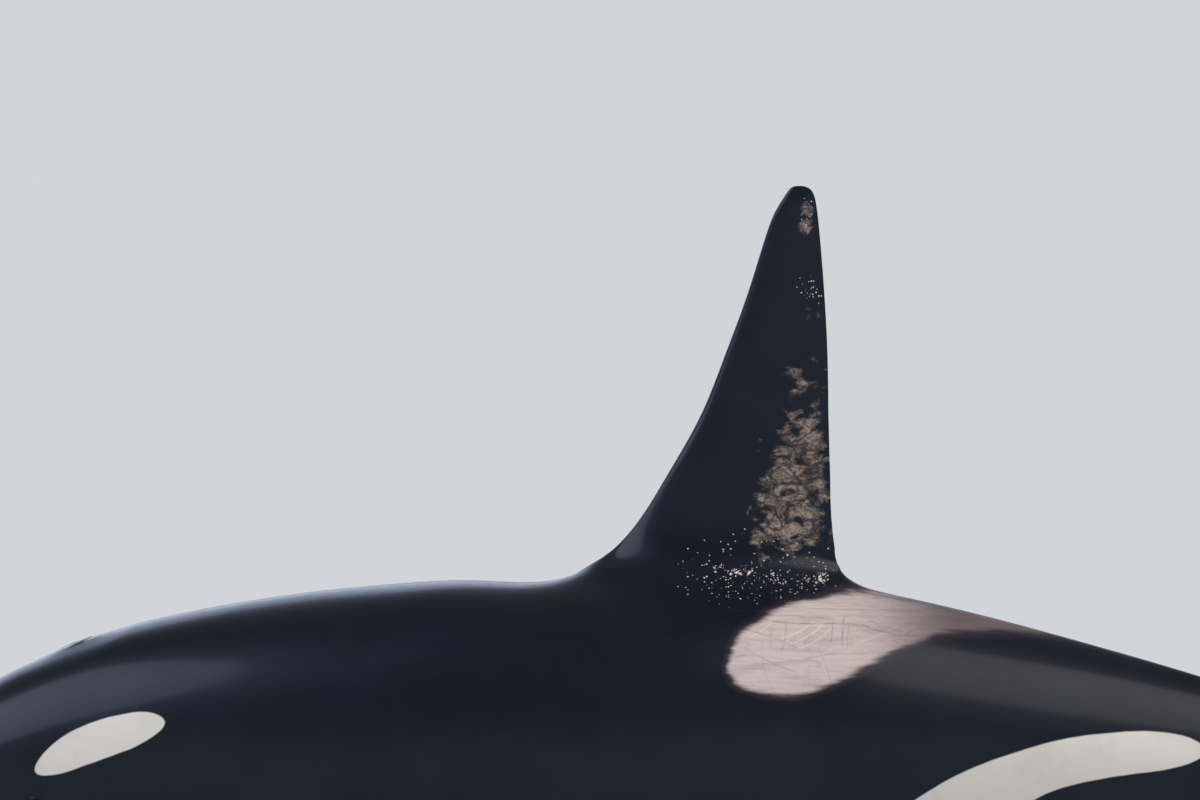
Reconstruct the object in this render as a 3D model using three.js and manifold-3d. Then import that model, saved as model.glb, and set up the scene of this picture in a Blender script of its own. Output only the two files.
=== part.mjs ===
// An adult male orca at life size, gliding level with a gentle arch of the back, on a display stand.
//
// The animal is one smooth subdivision surface over a coarse cage of quads. The cage has rings of vertices
// round the body, and the fins grow out of patches of its faces. The smooth surface is then parted into the
// named pieces along the cage's own edges. Lengths are in millimetres and angles in degrees. +X points to the
// head, +Y to the animal's left side and +Z up. The origin is the centre of the stand's underside.
import * as THREE from "three";
import { mergeVertices } from "three/addons/utils/BufferGeometryUtils.js";
import Module from "manifold-3d";

const wasm = await Module();
wasm.setup();
const { clamp, degToRad, lerp, smoothstep } = THREE.MathUtils;

// Place and pose. A station is a distance behind the tip of the snout, along the body's axis.
const BODY_LENGTH = 7200; // where the lines of the body end, just behind the notch between the flukes
const STAND_STATION = 3090; // the middle of the stand, under the animal's centre of mass
const LEVEL_STATION = 3500; // where the axis runs level
const BACK_HEIGHT = 2290; // the back at the level station, above the floor
const BACK_OVER_AXIS = 690; // the same place, above the axis
const CUT = 0.4; // width of the thin cuts between pieces
// How many degrees the axis falls towards the tail at each station
const ARCH_LINE = [
  [0, -5], [1300, -4.5], [2600, -1.2], [LEVEL_STATION, 0], [4300, 2.2], [5300, 4.4], [6200, 5.5],
  [BODY_LENGTH, 2],
];

// Lines of the straight body: [station, size] on the centre line of the back, the keel and the greatest half
// width, and the height of the widest place above the middle of the section
const BACK_LINE = [
  [0, -20], [60, 88], [150, 172], [330, 282], [560, 404], [900, 528], [1300, 610], [1900, 670],
  [2500, 694], [2860, 680], [3500, 690], [4100, 674], [4260, 650], [4500, 595], [4800, 536], [5600, 366],
  [6300, 208], [6750, 92], [7100, 30], [BODY_LENGTH, 22],
];
const KEEL_LINE = [
  [0, -140], [60, -202], [150, -244], [330, -302], [560, -368], [900, -452], [1300, -548], [1900, -654],
  [2700, -728], [3300, -722], [4100, -640], [4800, -512], [5600, -348], [6300, -200], [6750, -88],
  [7100, -30], [BODY_LENGTH, -22],
];
const HALF_WIDTH_LINE = [
  [0, 90], [60, 150], [150, 212], [330, 290], [560, 362], [900, 444], [1300, 526], [1900, 612], [2700, 652],
  [3300, 632], [4100, 534], [4800, 398], [5600, 240], [6300, 120], [6750, 74], [7100, 54], [BODY_LENGTH, 48],
];
const WIDEST_LINE = [[0, -10], [330, -40], [900, -50], [1900, -20], [3300, 0], [BODY_LENGTH, 0]];
// Exponents of the section's curve above and below its widest place: 2 is an ellipse, more is fuller and less
// runs to a ridge
const UPPER_FULLNESS = [
  [0, 2.2], [560, 2.15], [1300, 2.1], [3300, 2.0], [4800, 1.75], [6300, 1.55], [BODY_LENGTH, 1.8],
];
const LOWER_FULLNESS = [
  [0, 2.3], [560, 2.35], [1300, 2.3], [3300, 2.15], [4800, 1.9], [6300, 1.6], [BODY_LENGTH, 1.8],
];

// The cage's rings. Each fin grows from the rings between its own first and last one.
const COLUMNS = 20; // vertices round a ring, counted from the back down the left side
const STATIONS = [
  60, 130, 230, 350, 480, 620, 760, 920, 1100, 1290, // head
  1480, 1650, 1820, 1990, 2240, 2540, // chest, with the flippers on the first four
  2860, 3120, 3390, 3660, 3920, 4130, // under the dorsal fin
  4450, 4980, 5530, 6080, 6560, 6770, 6980, 7170, 7177, // tail stock, with the flukes near its end
];
// Each piece of the body starts at a ring
const BODY_PIECES = [["head", 0], ["chest", 1290], ["trunk", 2540], ["tail_stock", 4450]];

// The closed mouth follows one column of the cage from the snout to the corner of the mouth
const MOUTH_COLUMN = 6;
const MOUTH_CORNER = 620;
const MOUTH_LINE = [[0, -92], [130, -104], [350, -124], [500, -146], [MOUTH_CORNER, -178], [760, -196]];
const EVEN_FROM = 1290; // the station from which the columns are spaced evenly
const LOWER_JAW_SETBACK = 8; // how far the lower jaw ends behind the upper one
const SNOUT_ACROSS = 4; // faces across the patch that closes the snout

// The eye lies in one face of the cage, behind and above the corner of the mouth
const EYE = { station: 690, height: -106, column: 5 };
// Loops of the lids, from the outside in: [half length, half height, how far out of the skin]
const LID_LOOPS = [[47, 38, 0], [36, 25, 3], [29, 17, 3], [25, 13, -3], [34, 26, -20], [27, 22, -44]];
const EYEBALL = { length: 29, height: 23, depth: 18, sunk: 20 };

// The dorsal fin in side view: [height above the back, front edge ahead of the tip, rear edge behind it, half
// thickness]
const FIN_TIP_STATION = 3920;
const FIN_SECTIONS = [
  [42, 924, 156, 96], [120, 797, 134, 64], [260, 679, 119, 54], [450, 562, 116, 49], [700, 424, 106, 44],
  [950, 322, 101, 38], [1200, 232, 91, 31], [1430, 160, 73, 24], [1540, 119, 61, 20], [1605, 80, 49, 16],
];
const FIN_HEIGHT = 1652;
const FIN_ROOT = [2860, 4130]; // the rings it grows from

// A flipper in its own plane: [distance from the root, edge in front, edge behind, half thickness]
const FLIPPER_SECTIONS = [
  [90, 256, 246, 74], [340, 300, 296, 68], [640, 366, 388, 58], [960, 404, 480, 47], [1270, 372, 500, 35],
  [1540, 240, 420, 21],
];
const FLIPPER_LENGTH = 1690;
const FLIPPER_DIRECTION = new THREE.Vector3(-0.36, 0.79, -0.5).normalize(); // of the left one
const FLIPPER_COLUMN = 7;
const FLIPPER_ROOT = [1480, 1990];

// A fluke from above: [distance from the middle, station of its front edge, station of its rear edge, half
// thickness, drop]
const FLUKE_SECTIONS = [
  [84, 6590, 7186, 56, 0], [180, 6634, 7244, 48, 1], [380, 6734, 7294, 38, 5], [640, 6882, 7316, 28, 16],
  [920, 7064, 7340, 18, 40], [1150, 7250, 7386, 11, 72],
];
const FLUKE_TIP = { reach: 1225, station: 7372, drop: 88 };
const FLUKE_ROOT = [6560, 7170];

// Where the vertices of a fin's section lie along its chord, for each number of faces that it grows from
const CHORD_SHARES = { 5: [0.05, 0.21, 0.42, 0.64, 0.84, 0.97], 3: [0.08, 0.36, 0.68, 0.95] };

// Display stand
const BASE = { length: 3300, width: 1500, thickness: 60, corner: 160, bevel: 12 };
const CORNER_STEPS = 4; // straight steps round each corner of the base
const ROD = { radius: 62, sides: 20, spread: 1050 };
const COLLAR = { radius: 130, height: 30 };
const FIT_GAP = 0.3; // between the rods and what they touch

const FIT_ROUNDS = 4; // how often the cage is corrected so that the smooth surface meets the sizes above

// A smooth curve through points [x, y], as a function of x. Beyond its ends it holds the end's value.
function curveThrough(points) {
  const slope = points.map((p, k) => {
    const a = points[Math.max(k - 1, 0)];
    const b = points[Math.min(k + 1, points.length - 1)];
    return (b[1] - a[1]) / (b[0] - a[0]);
  });
  return (x) => {
    if (x <= points[0][0]) return points[0][1];
    if (x >= points.at(-1)[0]) return points.at(-1)[1];
    const k = points.findIndex((p) => p[0] > x) - 1;
    const [[xa, ya], [xb, yb]] = [points[k], points[k + 1]];
    const span = xb - xa;
    const t = (x - xa) / span;
    const level = ya * (1 + 2 * t) * (1 - t) ** 2 + yb * t * t * (3 - 2 * t);
    return level + span * (slope[k] * t * (1 - t) ** 2 + slope[k + 1] * t * t * (t - 1));
  };
}

const back = curveThrough(BACK_LINE);
const keel = curveThrough(KEEL_LINE);
const halfWidth = curveThrough(HALF_WIDTH_LINE);
const widest = curveThrough(WIDEST_LINE);
const upperFullness = curveThrough(UPPER_FULLNESS);
const lowerFullness = curveThrough(LOWER_FULLNESS);
const arch = curveThrough(ARCH_LINE);
const mouth = curveThrough(MOUTH_LINE);

// The axis in the pose, as points one step apart, found by walking along the arch
const AXIS_STEP = 10;
const axis = [{ x: 0, z: 0 }];
for (let s = 0; s < BODY_LENGTH + 400; s += AXIS_STEP) {
  const fall = degToRad(arch(s + AXIS_STEP / 2));
  const { x, z } = axis.at(-1);
  axis.push({ x: x - AXIS_STEP * Math.cos(fall), z: z - AXIS_STEP * Math.sin(fall) });
}
const axisShift = {
  x: -axis[STAND_STATION / AXIS_STEP].x,
  z: BACK_HEIGHT - BACK_OVER_AXIS - axis[LEVEL_STATION / AXIS_STEP].z,
};

// Carries a point of the straight body into the pose
function posed(station, left, height) {
  const k = clamp(Math.floor(station / AXIS_STEP), 0, axis.length - 1);
  const fall = degToRad(arch(station));
  const along = station - k * AXIS_STEP;
  return new THREE.Vector3(
    axis[k].x + axisShift.x - along * Math.cos(fall) - height * Math.sin(fall),
    left,
    axis[k].z + axisShift.z - along * Math.sin(fall) + height * Math.cos(fall),
  );
}

// A point of the straight body's section. turn runs from 0 on the back, down the left side, to pi on the keel
function section(station, turn) {
  const [top, bottom, wide] = [back(station), keel(station), halfWidth(station)];
  const middle = (top + bottom) / 2 + widest(station);
  const [across, up] = [Math.sin(turn), Math.cos(turn)];
  const power = 2 / (up >= 0 ? upperFullness(station) : lowerFullness(station));
  const reach = up >= 0 ? top - middle : middle - bottom;
  return {
    left: wide * Math.sign(across) * Math.abs(across) ** power,
    height: middle + reach * Math.sign(up) * Math.abs(up) ** power,
  };
}

// The turn at which the section has a given height on the left side
function turnAt(station, height) {
  let [high, low] = [0, Math.PI];
  for (let k = 0; k < 40; k++) {
    const turn = (high + low) / 2;
    if (section(station, turn).height > height) high = turn;
    else low = turn;
  }
  return (high + low) / 2;
}

function skinPoint(station, turn) {
  const { left, height } = section(station, turn);
  return posed(station, left, height);
}

// The turn of a column, from -half to half of the number of columns
function columnTurn(station, column) {
  const half = COLUMNS / 2;
  const even = (Math.PI * MOUTH_COLUMN) / half;
  const free = smoothstep(station, MOUTH_CORNER, EVEN_FROM);
  const lips = lerp(turnAt(station, mouth(station)), even, free);
  const k = Math.abs(column);
  const above = (lips * k) / MOUTH_COLUMN;
  const below = lips + ((Math.PI - lips) * (k - MOUTH_COLUMN)) / (half - MOUTH_COLUMN);
  return Math.sign(column) * (k <= MOUTH_COLUMN ? above : below);
}

// The cage: vertices, and faces with the numbers of their corners and the piece that they belong to
const cage = { vertices: [], faces: [] };
const addVertex = (point) => cage.vertices.push(point) - 1;
const addFace = (corners, piece) => cage.faces.push({ corners, piece });
const column = (j) => (j + COLUMNS) % COLUMNS;
const rings = STATIONS.map((station) =>
  Array.from({ length: COLUMNS }, (_, j) => {
    const signed = j > COLUMNS / 2 ? j - COLUMNS : j;
    return addVertex(skinPoint(station, columnTurn(station, signed)));
  }),
);
const bodyPiece = (station) => BODY_PIECES.findLast(([, start]) => station >= start)[0];
const taken = new Set(); // faces of the body that other features have replaced, as "ring,column"

// Joins two loops of vertices with a band of faces
function addBand(outer, inner, piece) {
  outer.forEach((v, k) => {
    const after = (k + 1) % outer.length;
    addFace([v, outer[after], inner[after], inner[k]], piece);
  });
}

// Half thickness of a fin along its chord, as a share of the greatest
const foil = (share) => Math.sin(Math.PI * share ** 0.62) ** 0.75;

// Grows a fin from the faces between two rings, one column wide on each side of its middle column.
// sections[k](share, side) gives its surface at a share of the chord, with side 1 or -1, or 0 on its edges.
function growFin([firstStation, lastStation], middle, sections, cap, piece) {
  const first = STATIONS.indexOf(firstStation);
  const count = STATIONS.indexOf(lastStation) - first;
  const shares = CHORD_SHARES[count];
  const roles = [
    { share: 0, side: 0 },
    ...shares.map((share) => ({ share, side: 1 })),
    { share: 1, side: 0 },
    ...shares.map((share) => ({ share, side: -1 })).reverse(),
  ];
  const rows = rings.slice(first, first + count + 1);
  let loop = [
    rows[0][column(middle)],
    ...rows.map((row) => row[column(middle + 1)]),
    rows[count][column(middle)],
    ...rows.map((row) => row[column(middle - 1)]).reverse(),
  ];
  sections.forEach((surface, k) => {
    const next = roles.map(({ share, side }) => addVertex(surface(share, side)));
    addBand(loop, next, k === 0 ? bodyPiece(firstStation) : piece);
    loop = next;
  });
  const ridge = [loop[0], ...shares.slice(1, -1).map((share) => addVertex(cap(share))), loop[count + 2]];
  for (let c = 0; c < count; c++) {
    const [near, far] = [loop.at(-1 - c), loop.at(-2 - c)];
    addFace([ridge[c], loop[c + 1], loop[c + 2], ridge[c + 1]], piece);
    addFace([ridge[c + 1], far, near, ridge[c]], piece);
    taken.add(`${first + c},${column(middle)}`);
    taken.add(`${first + c},${column(middle - 1)}`);
  }
}

// The fin stands upright on the back, whatever the arch below it
function growDorsalFin() {
  const tipX = STAND_STATION - FIN_TIP_STATION;
  const sections = FIN_SECTIONS.map(([height, front, rear, half]) => (share, side) =>
    new THREE.Vector3(tipX + lerp(front, -rear, share), side * half * foil(share), BACK_HEIGHT + height),
  );
  const [topHeight, front, rear] = FIN_SECTIONS.at(-1);
  const crown = (share) => lerp(topHeight, FIN_HEIGHT, Math.sqrt(1 - (2 * share - 1) ** 2));
  const cap = (share) => new THREE.Vector3(tipX + lerp(front, -rear, share), 0, BACK_HEIGHT + crown(share));
  growFin(FIN_ROOT, 0, sections, cap, "dorsal_fin");
}

// side is 1 for the left flipper and -1 for the right one
function growFlipper(side) {
  const rootStation = (FLIPPER_ROOT[0] + FLIPPER_ROOT[1]) / 2;
  const origin = skinPoint(rootStation, columnTurn(rootStation, FLIPPER_COLUMN));
  const reachWay = FLIPPER_DIRECTION;
  const chordWay = new THREE.Vector3(-1, 0, 0);
  const upWay = new THREE.Vector3().crossVectors(reachWay, chordWay).normalize();
  upWay.multiplyScalar(Math.sign(upWay.z));
  const place = (reach, along, up) => {
    const point = origin.clone().addScaledVector(reachWay, reach);
    point.addScaledVector(chordWay, along).addScaledVector(upWay, up);
    return point.setY(side * point.y);
  };
  // On the left side the next column is the lower one, on the right side it is the upper one
  const sections = FLIPPER_SECTIONS.map(([reach, front, rear, half]) => (share, face) =>
    place(reach, lerp(-front, rear, share), -side * face * half * foil(share)),
  );
  const [, front, rear] = FLIPPER_SECTIONS.at(-1);
  const cap = (share) => place(FLIPPER_LENGTH, lerp(-front, rear, lerp(0.22, 0.9, share)), 0);
  growFin(FLIPPER_ROOT, side * FLIPPER_COLUMN, sections, cap, side > 0 ? "flipper_left" : "flipper_right");
}

function growFluke(side) {
  const sections = FLUKE_SECTIONS.map(([reach, front, rear, half, drop]) => (share, face) =>
    posed(lerp(front, rear, share), side * reach, -drop - side * face * half * foil(share)),
  );
  const front = FLUKE_SECTIONS.at(-1)[1];
  const cap = (share) =>
    posed(lerp(front, FLUKE_TIP.station, lerp(0.4, 0.95, share)), side * FLUKE_TIP.reach, -FLUKE_TIP.drop);
  growFin(FLUKE_ROOT, (side * COLUMNS) / 4, sections, cap, side > 0 ? "fluke_left" : "fluke_right");
}

// The outward direction of the skin on the left side
function skinNormal(station, turn) {
  const back = skinPoint(station + 5, turn).sub(skinPoint(station - 5, turn));
  const down = skinPoint(station, turn + 0.01).sub(skinPoint(station, turn - 0.01));
  return down.cross(back).normalize();
}

const eyeTurn = turnAt(EYE.station, EYE.height);
const eyeNormal = skinNormal(EYE.station, eyeTurn);

// Sinks the eye's socket, with its lids, into one face of the head
function sinkEye(side) {
  const row = STATIONS.findLastIndex((station) => station < EYE.station);
  const j = column(side > 0 ? EYE.column : -EYE.column - 1);
  const down = side > 0 ? [-1, 1, 1, -1] : [1, -1, -1, 1];
  const backward = [-1, -1, 1, 1];
  let loop = [rings[row][j], rings[row][column(j + 1)], rings[row + 1][column(j + 1)], rings[row + 1][j]];
  for (const [halfLength, halfHeight, out] of LID_LOOPS) {
    const next = loop.map((_, k) => {
      const station = EYE.station + backward[k] * halfLength;
      const turn = turnAt(station, EYE.height - down[k] * halfHeight);
      const point = skinPoint(station, turn).addScaledVector(eyeNormal, out);
      return addVertex(point.setY(side * point.y));
    });
    addBand(loop, next, "head");
    loop = next;
  }
  addFace(loop, "head");
  taken.add(`${row},${j}`);
}

// Closes the snout with a patch of faces that bulges forward from the first ring
function closeSnout() {
  const first = STATIONS[0];
  const across = SNOUT_ACROSS;
  const down = COLUMNS / 2 - across;
  const mouthRow = MOUTH_COLUMN - across / 2;
  const rimColumn = (u, v) => {
    if (v === 0) return u - across / 2;
    if (v === down) return COLUMNS / 2 - (u - across / 2);
    return (u === 0 ? -1 : 1) * (across / 2 + v);
  };
  const rim = (u, v) => {
    const j = rimColumn(u, v);
    return section(first, columnTurn(first, j > COLUMNS / 2 ? j - COLUMNS : j));
  };
  const [top, bottom] = [section(first, 0).height, section(first, Math.PI).height];
  const patch = [];
  for (let v = 0; v <= down; v++) {
    patch.push([]);
    for (let u = 0; u <= across; u++) {
      if (v === 0 || v === down || u === 0 || u === across) {
        patch[v].push(rings[0][column(rimColumn(u, v))]);
        continue;
      }
      const [a, b] = [u / across, v / down];
      const left = lerp(rim(0, v).left, rim(across, v).left, a);
      const height = lerp(rim(u, 0).height, rim(u, down).height, b);
      const level = v === mouthRow ? mouth(0) : lerp(height, rim(0, v).height, 0.5);
      const up = (2 * level - top - bottom) / (top - bottom);
      const spread = Math.min(1, (left / halfWidth(first)) ** 2 + up ** 2);
      const setback = v > mouthRow ? LOWER_JAW_SETBACK : 0;
      patch[v].push(addVertex(posed(lerp(setback, first, spread ** 1.1), left, level)));
    }
  }
  for (let v = 0; v < down; v++)
    for (let u = 0; u < across; u++) {
      const corners = [patch[v][u], patch[v + 1][u], patch[v + 1][u + 1], patch[v][u + 1]];
      addFace(corners, v < mouthRow ? "head" : "lower_jaw");
    }
}

// Closes the flat end of the tail by joining the upper half of the last ring to its lower half
function closeNotch() {
  const last = rings.at(-1);
  const [half, quarter] = [COLUMNS / 2, COLUMNS / 4];
  for (let k = -quarter; k < quarter; k++) {
    const corners = [k, k + 1, half - k - 1, half - k].map((j) => last[column(j)]);
    addFace([...new Set(corners)], "tail_stock");
  }
}

growDorsalFin();
for (const side of [1, -1]) {
  growFlipper(side);
  growFluke(side);
  sinkEye(side);
}
closeSnout();
closeNotch();
for (let i = 0; i + 1 < rings.length; i++)
  for (let j = 0; j < COLUMNS; j++) {
    if (taken.has(`${i},${j}`)) continue;
    const corners = [rings[i][j], rings[i][column(j + 1)], rings[i + 1][column(j + 1)], rings[i + 1][j]];
    const belowMouth = j >= MOUTH_COLUMN && j < COLUMNS - MOUTH_COLUMN;
    const isJaw = belowMouth && STATIONS[i] < MOUTH_CORNER;
    addFace(corners, isJaw ? "lower_jaw" : bodyPiece(STATIONS[i]));
  }

// One step of Catmull-Clark subdivision. The first vertices of the result are the old ones, moved.
function subdivided({ vertices, faces }) {
  const centre = (points) => {
    const sum = new THREE.Vector3();
    points.forEach((p) => sum.add(p));
    return sum.divideScalar(points.length);
  };
  const made = vertices.map((v) => v.clone());
  const around = vertices.map(() => ({ faces: [], edges: [] }));
  const facePoint = faces.map(({ corners }) => {
    const point = centre(corners.map((v) => vertices[v]));
    corners.forEach((v) => around[v].faces.push(point));
    return made.push(point) - 1;
  });
  const edges = new Map();
  const key = (a, b) => `${Math.min(a, b)},${Math.max(a, b)}`;
  faces.forEach(({ corners }, f) => {
    corners.forEach((a, k) => {
      const b = corners[(k + 1) % corners.length];
      const edge = edges.get(key(a, b)) ?? { ends: [a, b], faces: [] };
      edge.faces.push(made[facePoint[f]]);
      edges.set(key(a, b), edge);
    });
  });
  for (const edge of edges.values()) {
    const ends = edge.ends.map((v) => vertices[v]);
    edge.ends.forEach((v) => around[v].edges.push(centre(ends)));
    edge.vertex = made.push(centre([...ends, ...edge.faces])) - 1;
  }
  vertices.forEach((v, k) => {
    const n = around[k].edges.length;
    const point = centre(around[k].faces).add(centre(around[k].edges).multiplyScalar(2));
    made[k] = point.addScaledVector(v, n - 3).divideScalar(n);
  });
  const quads = faces.flatMap(({ corners, piece }, f) =>
    corners.map((v, k) => {
      const before = edges.get(key(v, corners.at(k - 1))).vertex;
      const after = edges.get(key(v, corners[(k + 1) % corners.length])).vertex;
      return { corners: [v, after, facePoint[f], before], piece };
    }),
  );
  return { vertices: made, faces: quads };
}

// Where the vertices of a mesh of quads come to lie when it is subdivided without end
function limitPoints({ vertices, faces }) {
  const sums = vertices.map(() => ({ near: new THREE.Vector3(), far: new THREE.Vector3(), count: 0 }));
  for (const { corners } of faces)
    corners.forEach((v, k) => {
      sums[v].near.add(vertices[corners[(k + 1) % 4]]);
      sums[v].far.add(vertices[corners[(k + 2) % 4]]);
      sums[v].count += 1;
    });
  return vertices.map((v, k) => {
    const { near, far, count } = sums[k];
    const point = v.clone().multiplyScalar(count * count).addScaledVector(near, 4).add(far);
    return point.divideScalar(count * (count + 5));
  });
}

// Moves the cage outwards until the smooth surface passes through the points that the cage was given
function fitted({ vertices, faces }) {
  let moved = vertices;
  for (let round = 0; round < FIT_ROUNDS; round++) {
    const reached = limitPoints(subdivided({ vertices: moved, faces }));
    moved = moved.map((v, k) => v.clone().add(vertices[k]).sub(reached[k]));
  }
  return { vertices: moved, faces };
}

const fine = subdivided(fitted(cage));
const skin = limitPoints(fine);

// Splits a face into triangles along its longer diagonal
function trianglesOf(corners, points) {
  if (corners.length === 3) return [corners];
  const [a, b, c, d] = corners;
  const [pa, pb, pc, pd] = corners.map((v) => points[v]);
  return pa.distanceTo(pc) >= pb.distanceTo(pd) ? [[a, b, c], [a, c, d]] : [[b, c, d], [b, d, a]];
}

// The loop of edges where one piece meets another, in the order in which the first piece's faces pass it
function sharedLoop(piece, neighbour) {
  const owner = new Map();
  for (const { corners, piece: name } of fine.faces)
    corners.forEach((v, k) => owner.set(`${v},${corners[(k + 1) % 4]}`, name));
  const next = new Map();
  for (const [edge, name] of owner) {
    const [a, b] = edge.split(",").map(Number);
    if (name === piece && owner.get(`${b},${a}`) === neighbour) next.set(a, b);
  }
  const loop = [next.keys().next().value];
  while (next.get(loop.at(-1)) !== loop[0]) loop.push(next.get(loop.at(-1)));
  return loop;
}

// Closes a loop with strips that run across it the shortest way, as triangles facing out of the first piece
function capOf(loop) {
  const size = loop.length;
  const at = (k) => loop[(k + size) % size];
  const width = (start) => {
    let sum = 0;
    for (let k = 1; k < size / 2; k++) sum += skin[at(start + k)].distanceTo(skin[at(start - k)]);
    return sum;
  };
  const starts = [...Array(size / 2).keys()];
  const start = starts.reduce((best, s) => (width(s) < width(best) ? s : best));
  const triangles = [];
  for (let k = 0; k < size / 2; k++) {
    const strip = [at(start + k + 1), at(start + k), at(start - k), at(start - k - 1)];
    triangles.push(...trianglesOf([...new Set(strip)], skin));
  }
  return triangles;
}

// The pairs of pieces that a cut parts
const CUTS = [
  ["head", "lower_jaw"], ["head", "chest"], ["chest", "trunk"], ["trunk", "tail_stock"],
  ["trunk", "dorsal_fin"], ["chest", "flipper_left"], ["chest", "flipper_right"],
  ["tail_stock", "fluke_left"], ["tail_stock", "fluke_right"],
];
const PIECES = [...new Set(CUTS.flat())];

// Each piece as its own closed set of triangles, drawn back from its cuts by half their width
const pieces = new Map(PIECES.map((name) => [name, { triangles: [], moved: new Map() }]));
for (const { corners, piece } of fine.faces) pieces.get(piece).triangles.push(...trianglesOf(corners, skin));
for (const [one, other] of CUTS) {
  const cap = capOf(sharedLoop(one, other));
  const push = new Map();
  for (const triangle of cap) {
    const normal = new THREE.Triangle(...triangle.map((v) => skin[v])).getNormal(new THREE.Vector3());
    for (const v of triangle) push.set(v, (push.get(v) ?? new THREE.Vector3()).add(normal));
  }
  for (const [v, sum] of push) {
    const step = sum.setLength(CUT / 2);
    pieces.get(one).moved.set(v, skin[v].clone().sub(step));
    pieces.get(other).moved.set(v, skin[v].clone().add(step));
  }
  pieces.get(one).triangles.push(...cap);
  pieces.get(other).triangles.push(...cap.map((triangle) => [...triangle].reverse()));
}

function geometryFrom(points, triangles) {
  const geometry = new THREE.BufferGeometry();
  geometry.setAttribute("position", new THREE.Float32BufferAttribute(points.flatMap((p) => p.toArray()), 3));
  geometry.setIndex(triangles.flat());
  return geometry;
}

function pieceGeometry({ triangles, moved }) {
  const used = [...new Set(triangles.flat())];
  const order = new Map(used.map((v, k) => [v, k]));
  return geometryFrom(
    used.map((v) => moved.get(v) ?? skin[v]),
    triangles.map((triangle) => triangle.map((v) => order.get(v))),
  );
}

// Turns a closed geometry into a solid, and back
function solidOf(geometry) {
  const bare = new THREE.BufferGeometry().setAttribute("position", geometry.getAttribute("position"));
  bare.setIndex(geometry.getIndex());
  const merged = mergeVertices(bare, 1e-3);
  const mesh = new wasm.Mesh({
    numProp: 3,
    vertProperties: merged.attributes.position.array,
    triVerts: new Uint32Array(merged.index.array),
  });
  return new wasm.Manifold(mesh);
}

function geometryOf(solid) {
  const mesh = solid.getMesh();
  const geometry = new THREE.BufferGeometry();
  geometry.setAttribute("position", new THREE.BufferAttribute(new Float32Array(mesh.vertProperties), 3));
  geometry.setIndex(new THREE.BufferAttribute(new Uint32Array(mesh.triVerts), 1));
  return geometry;
}

// A flat eyeball that fills the socket behind the lids
function eyeball(side) {
  const ball = new THREE.SphereGeometry(1, 12, 6);
  ball.scale(EYEBALL.length, EYEBALL.height, EYEBALL.depth);
  const out = eyeNormal.clone().setY(side * eyeNormal.y);
  const centre = skinPoint(EYE.station, eyeTurn).addScaledVector(eyeNormal, -EYEBALL.sunk);
  centre.setY(side * centre.y);
  const backward = new THREE.Vector3(-1, 0, 0).addScaledVector(out, out.x).normalize();
  const third = new THREE.Vector3().crossVectors(out, backward);
  ball.applyMatrix4(new THREE.Matrix4().makeBasis(backward, third, out).setPosition(centre));
  return mergeVertices(ball.deleteAttribute("normal").deleteAttribute("uv"), 1e-3);
}

// A flat plate with round corners and a bevelled upper edge, lying on the floor
function standBase() {
  const { length, width, thickness, corner, bevel } = BASE;
  const outline = new THREE.Shape();
  const [x, y] = [length / 2 - corner, width / 2 - corner];
  outline.absarc(x, y, corner, 0, Math.PI / 2);
  outline.absarc(-x, y, corner, Math.PI / 2, Math.PI);
  outline.absarc(-x, -y, corner, Math.PI, 1.5 * Math.PI);
  outline.absarc(x, -y, corner, 1.5 * Math.PI, 2 * Math.PI);
  const points = outline.getPoints(CORNER_STEPS).slice(0, -1);
  const layer = (inset, z) =>
    points.map((p) => {
      const centre = new THREE.Vector2(Math.sign(p.x) * x, Math.sign(p.y) * y);
      const out = p.clone().sub(centre).setLength(corner - inset).add(centre);
      return new THREE.Vector3(out.x, out.y, z);
    });
  const layers = [layer(0, 0), layer(0, thickness - bevel), layer(bevel, thickness)];
  const triangles = [];
  const size = points.length;
  for (let level = 0; level + 1 < layers.length; level++)
    for (let k = 0; k < size; k++) {
      const [a, b] = [level * size + k, level * size + ((k + 1) % size)];
      triangles.push([a, b, b + size], [a, b + size, a + size]);
    }
  const top = 2 * size;
  for (let k = 1; k + 1 < size; k++) {
    triangles.push([0, k + 1, k]);
    triangles.push([top, top + k, top + k + 1]);
  }
  return geometryFrom(layers.flat(), triangles);
}

// A round rod from the base up to the belly, which its top follows
function standRod(x) {
  const top = BACK_HEIGHT - BACK_OVER_AXIS;
  const rod = new THREE.CylinderGeometry(ROD.radius, ROD.radius, top - BASE.thickness, ROD.sides);
  rod.rotateX(Math.PI / 2).translate(x, 0, (top + BASE.thickness) / 2);
  return geometryOf(solidOf(rod).subtract(animal.translate([0, 0, -FIT_GAP])));
}

// A flange round the foot of a rod
function standCollar(x) {
  const { radius, height } = COLLAR;
  const hole = ROD.radius + FIT_GAP;
  const corners = [[hole, 0], [radius, 0], [radius, height], [hole, height], [hole, 0]];
  const profile = corners.map(([r, z]) => new THREE.Vector2(r, z));
  const ring = new THREE.LatheGeometry(profile, ROD.sides);
  return geometryOf(solidOf(ring.rotateX(Math.PI / 2).translate(x, 0, BASE.thickness)));
}

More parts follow.
